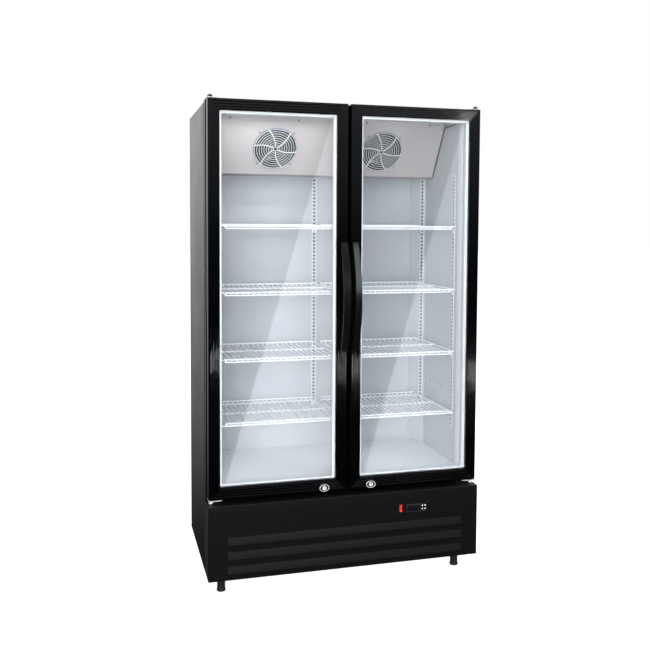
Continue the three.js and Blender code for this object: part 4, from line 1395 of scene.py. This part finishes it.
def area_light(name, place, aim, size, power, glossy=False):
    data = bpy.data.lights.new(name, "AREA")
    data.shape = "RECTANGLE"
    data.size, data.size_y = size
    data.energy = power
    light = bpy.data.objects.new(name, data)
    bpy.context.scene.collection.objects.link(light)
    direction = Vector(aim) - Vector(place)
    turn = direction.to_track_quat("-Z", "Y").to_matrix().to_4x4()
    light.matrix_world = Matrix.Translation(place) @ turn
    light.visible_glossy = glossy
    light.visible_camera = False
    return light


def world_ramp(tree, value, low, high, dark, bright):
    """A value's range low to high spread over dark to bright."""
    node = tree.nodes.new("ShaderNodeMapRange")
    for key, number in (("From Min", low), ("From Max", high), ("To Min", dark), ("To Max", bright)):
        node.inputs[key].default_value = number
    tree.links.new(value, node.inputs["Value"])
    return node.outputs["Result"]


def make_world():
    """White to the eye; to the object, bright behind and above it and dark before and below it."""
    world = bpy.data.worlds.new("studio")
    bpy.context.scene.world = world
    world.use_nodes = True
    tree = world.node_tree
    tree.nodes.clear()
    new = tree.nodes.new
    coordinates, split = new("ShaderNodeTexCoord"), new("ShaderNodeSeparateXYZ")
    tree.links.new(coordinates.outputs["Generated"], split.inputs[0])
    up = split.outputs["Z"]
    behind = world_ramp(tree, up, -0.34, 0.15, 0.02, 0.92)
    rise = world_ramp(tree, up, -0.03, 0.17, 0.0, 0.55)
    fade = world_ramp(tree, up, 0.26, 0.42, 1.0, 0.15)
    above = world_ramp(tree, up, 0.45, 0.95, 0.0, 0.5)
    total = new("ShaderNodeMath")
    total.operation = "MULTIPLY_ADD"
    for socket, value in zip(total.inputs, (rise, fade, above)):
        tree.links.new(value, socket)
    blend = new("ShaderNodeMix")
    tree.links.new(world_ramp(tree, split.outputs["Y"], -0.2, 0.5, 0.0, 1.0), blend.inputs["Factor"])
    tree.links.new(total.outputs[0], blend.inputs["A"])
    tree.links.new(behind, blend.inputs["B"])
    room, white = new("ShaderNodeBackground"), new("ShaderNodeBackground")
    path, mix, out = new("ShaderNodeLightPath"), new("ShaderNodeMixShader"), new("ShaderNodeOutputWorld")
    tree.links.new(blend.outputs["Result"], room.inputs["Strength"])
    white.inputs["Strength"].default_value = 1.0
    white.inputs["Color"].default_value = (1, 1, 1, 1)
    room.inputs["Color"].default_value = (0.95, 0.97, 1.0, 1)
    tree.links.new(path.outputs["Is Camera Ray"], mix.inputs[0])
    tree.links.new(room.outputs[0], mix.inputs[1])
    tree.links.new(white.outputs[0], mix.inputs[2])
    tree.links.new(mix.outputs[0], out.inputs[0])


make_floor()
make_sheen_cards()
make_world()
bpy.context.scene.view_settings.view_transform = "Standard"
area_light("key_front", (-0.6, -4.4, 3.3), (0, 0, 0.7), (2.5, 2.5), 126)
area_light("fill_front", (-1.6, -4.0, 1.2), (-0.2, 0, 1.0), (2.0, 2.0), 168)
area_light("fill_low", (-0.6, -4.4, 0.6), (0, 0, 1.0), (2.0, 1.0), 54)
fill_right = area_light("fill_right", (3.2, -3.4, 2.0), (0, 0, 1.0), (2.0, 2.0), 118)
area_light("overhead", (0, 0, 5.0), (0, 0, 0), (5, 5), 180)
overhead_front = area_light("overhead_front", (-0.6, -2.6, 3.4), (0, -0.3, 1.2), (3.0, 0.8), 17, glossy=True)
rail_streaks = area_light("rail_streaks", (1.45, -2.6, 2.6), (0.3, -0.3, 1.8), (1.5, 0.10), 14, glossy=True)
glint_low = area_light("glint_low", (1.5, -1.9, 0.50), (0, -0.2, 0.8), (0.05, 0.13), 8, glossy=True)
teal_high = area_light("teal_high", (1.9, -2.4, 2.3), (0.03, -0.3, 1.2), (1.6, 2.2), 30, glossy=True)
teal_high.data.color = (0.72, 0.95, 1.0)
area_light("inside_left", (-0.28, -0.13, 1.86), (-0.28, 0.05, 0.4), (0.4, 0.04), 1.1)
area_light("inside_floor", (0, -0.05, 0.62), (0, 0, 0.4), (0.9, 0.25), 0.3)
members = [bpy.data.objects["frame_members_" + side] for side in SIDES]
handles = [bpy.data.objects["handle_blade_" + side] for side in SIDES]
lit_only(glint_low, members, True)
lit_only(rail_streaks, members, True)
lit_only(teal_high, handles[1:], True)
lit_only(overhead_front, handles, False)
lit_only(fill_right, members + handles + [bpy.data.objects["base_panel"]], False)
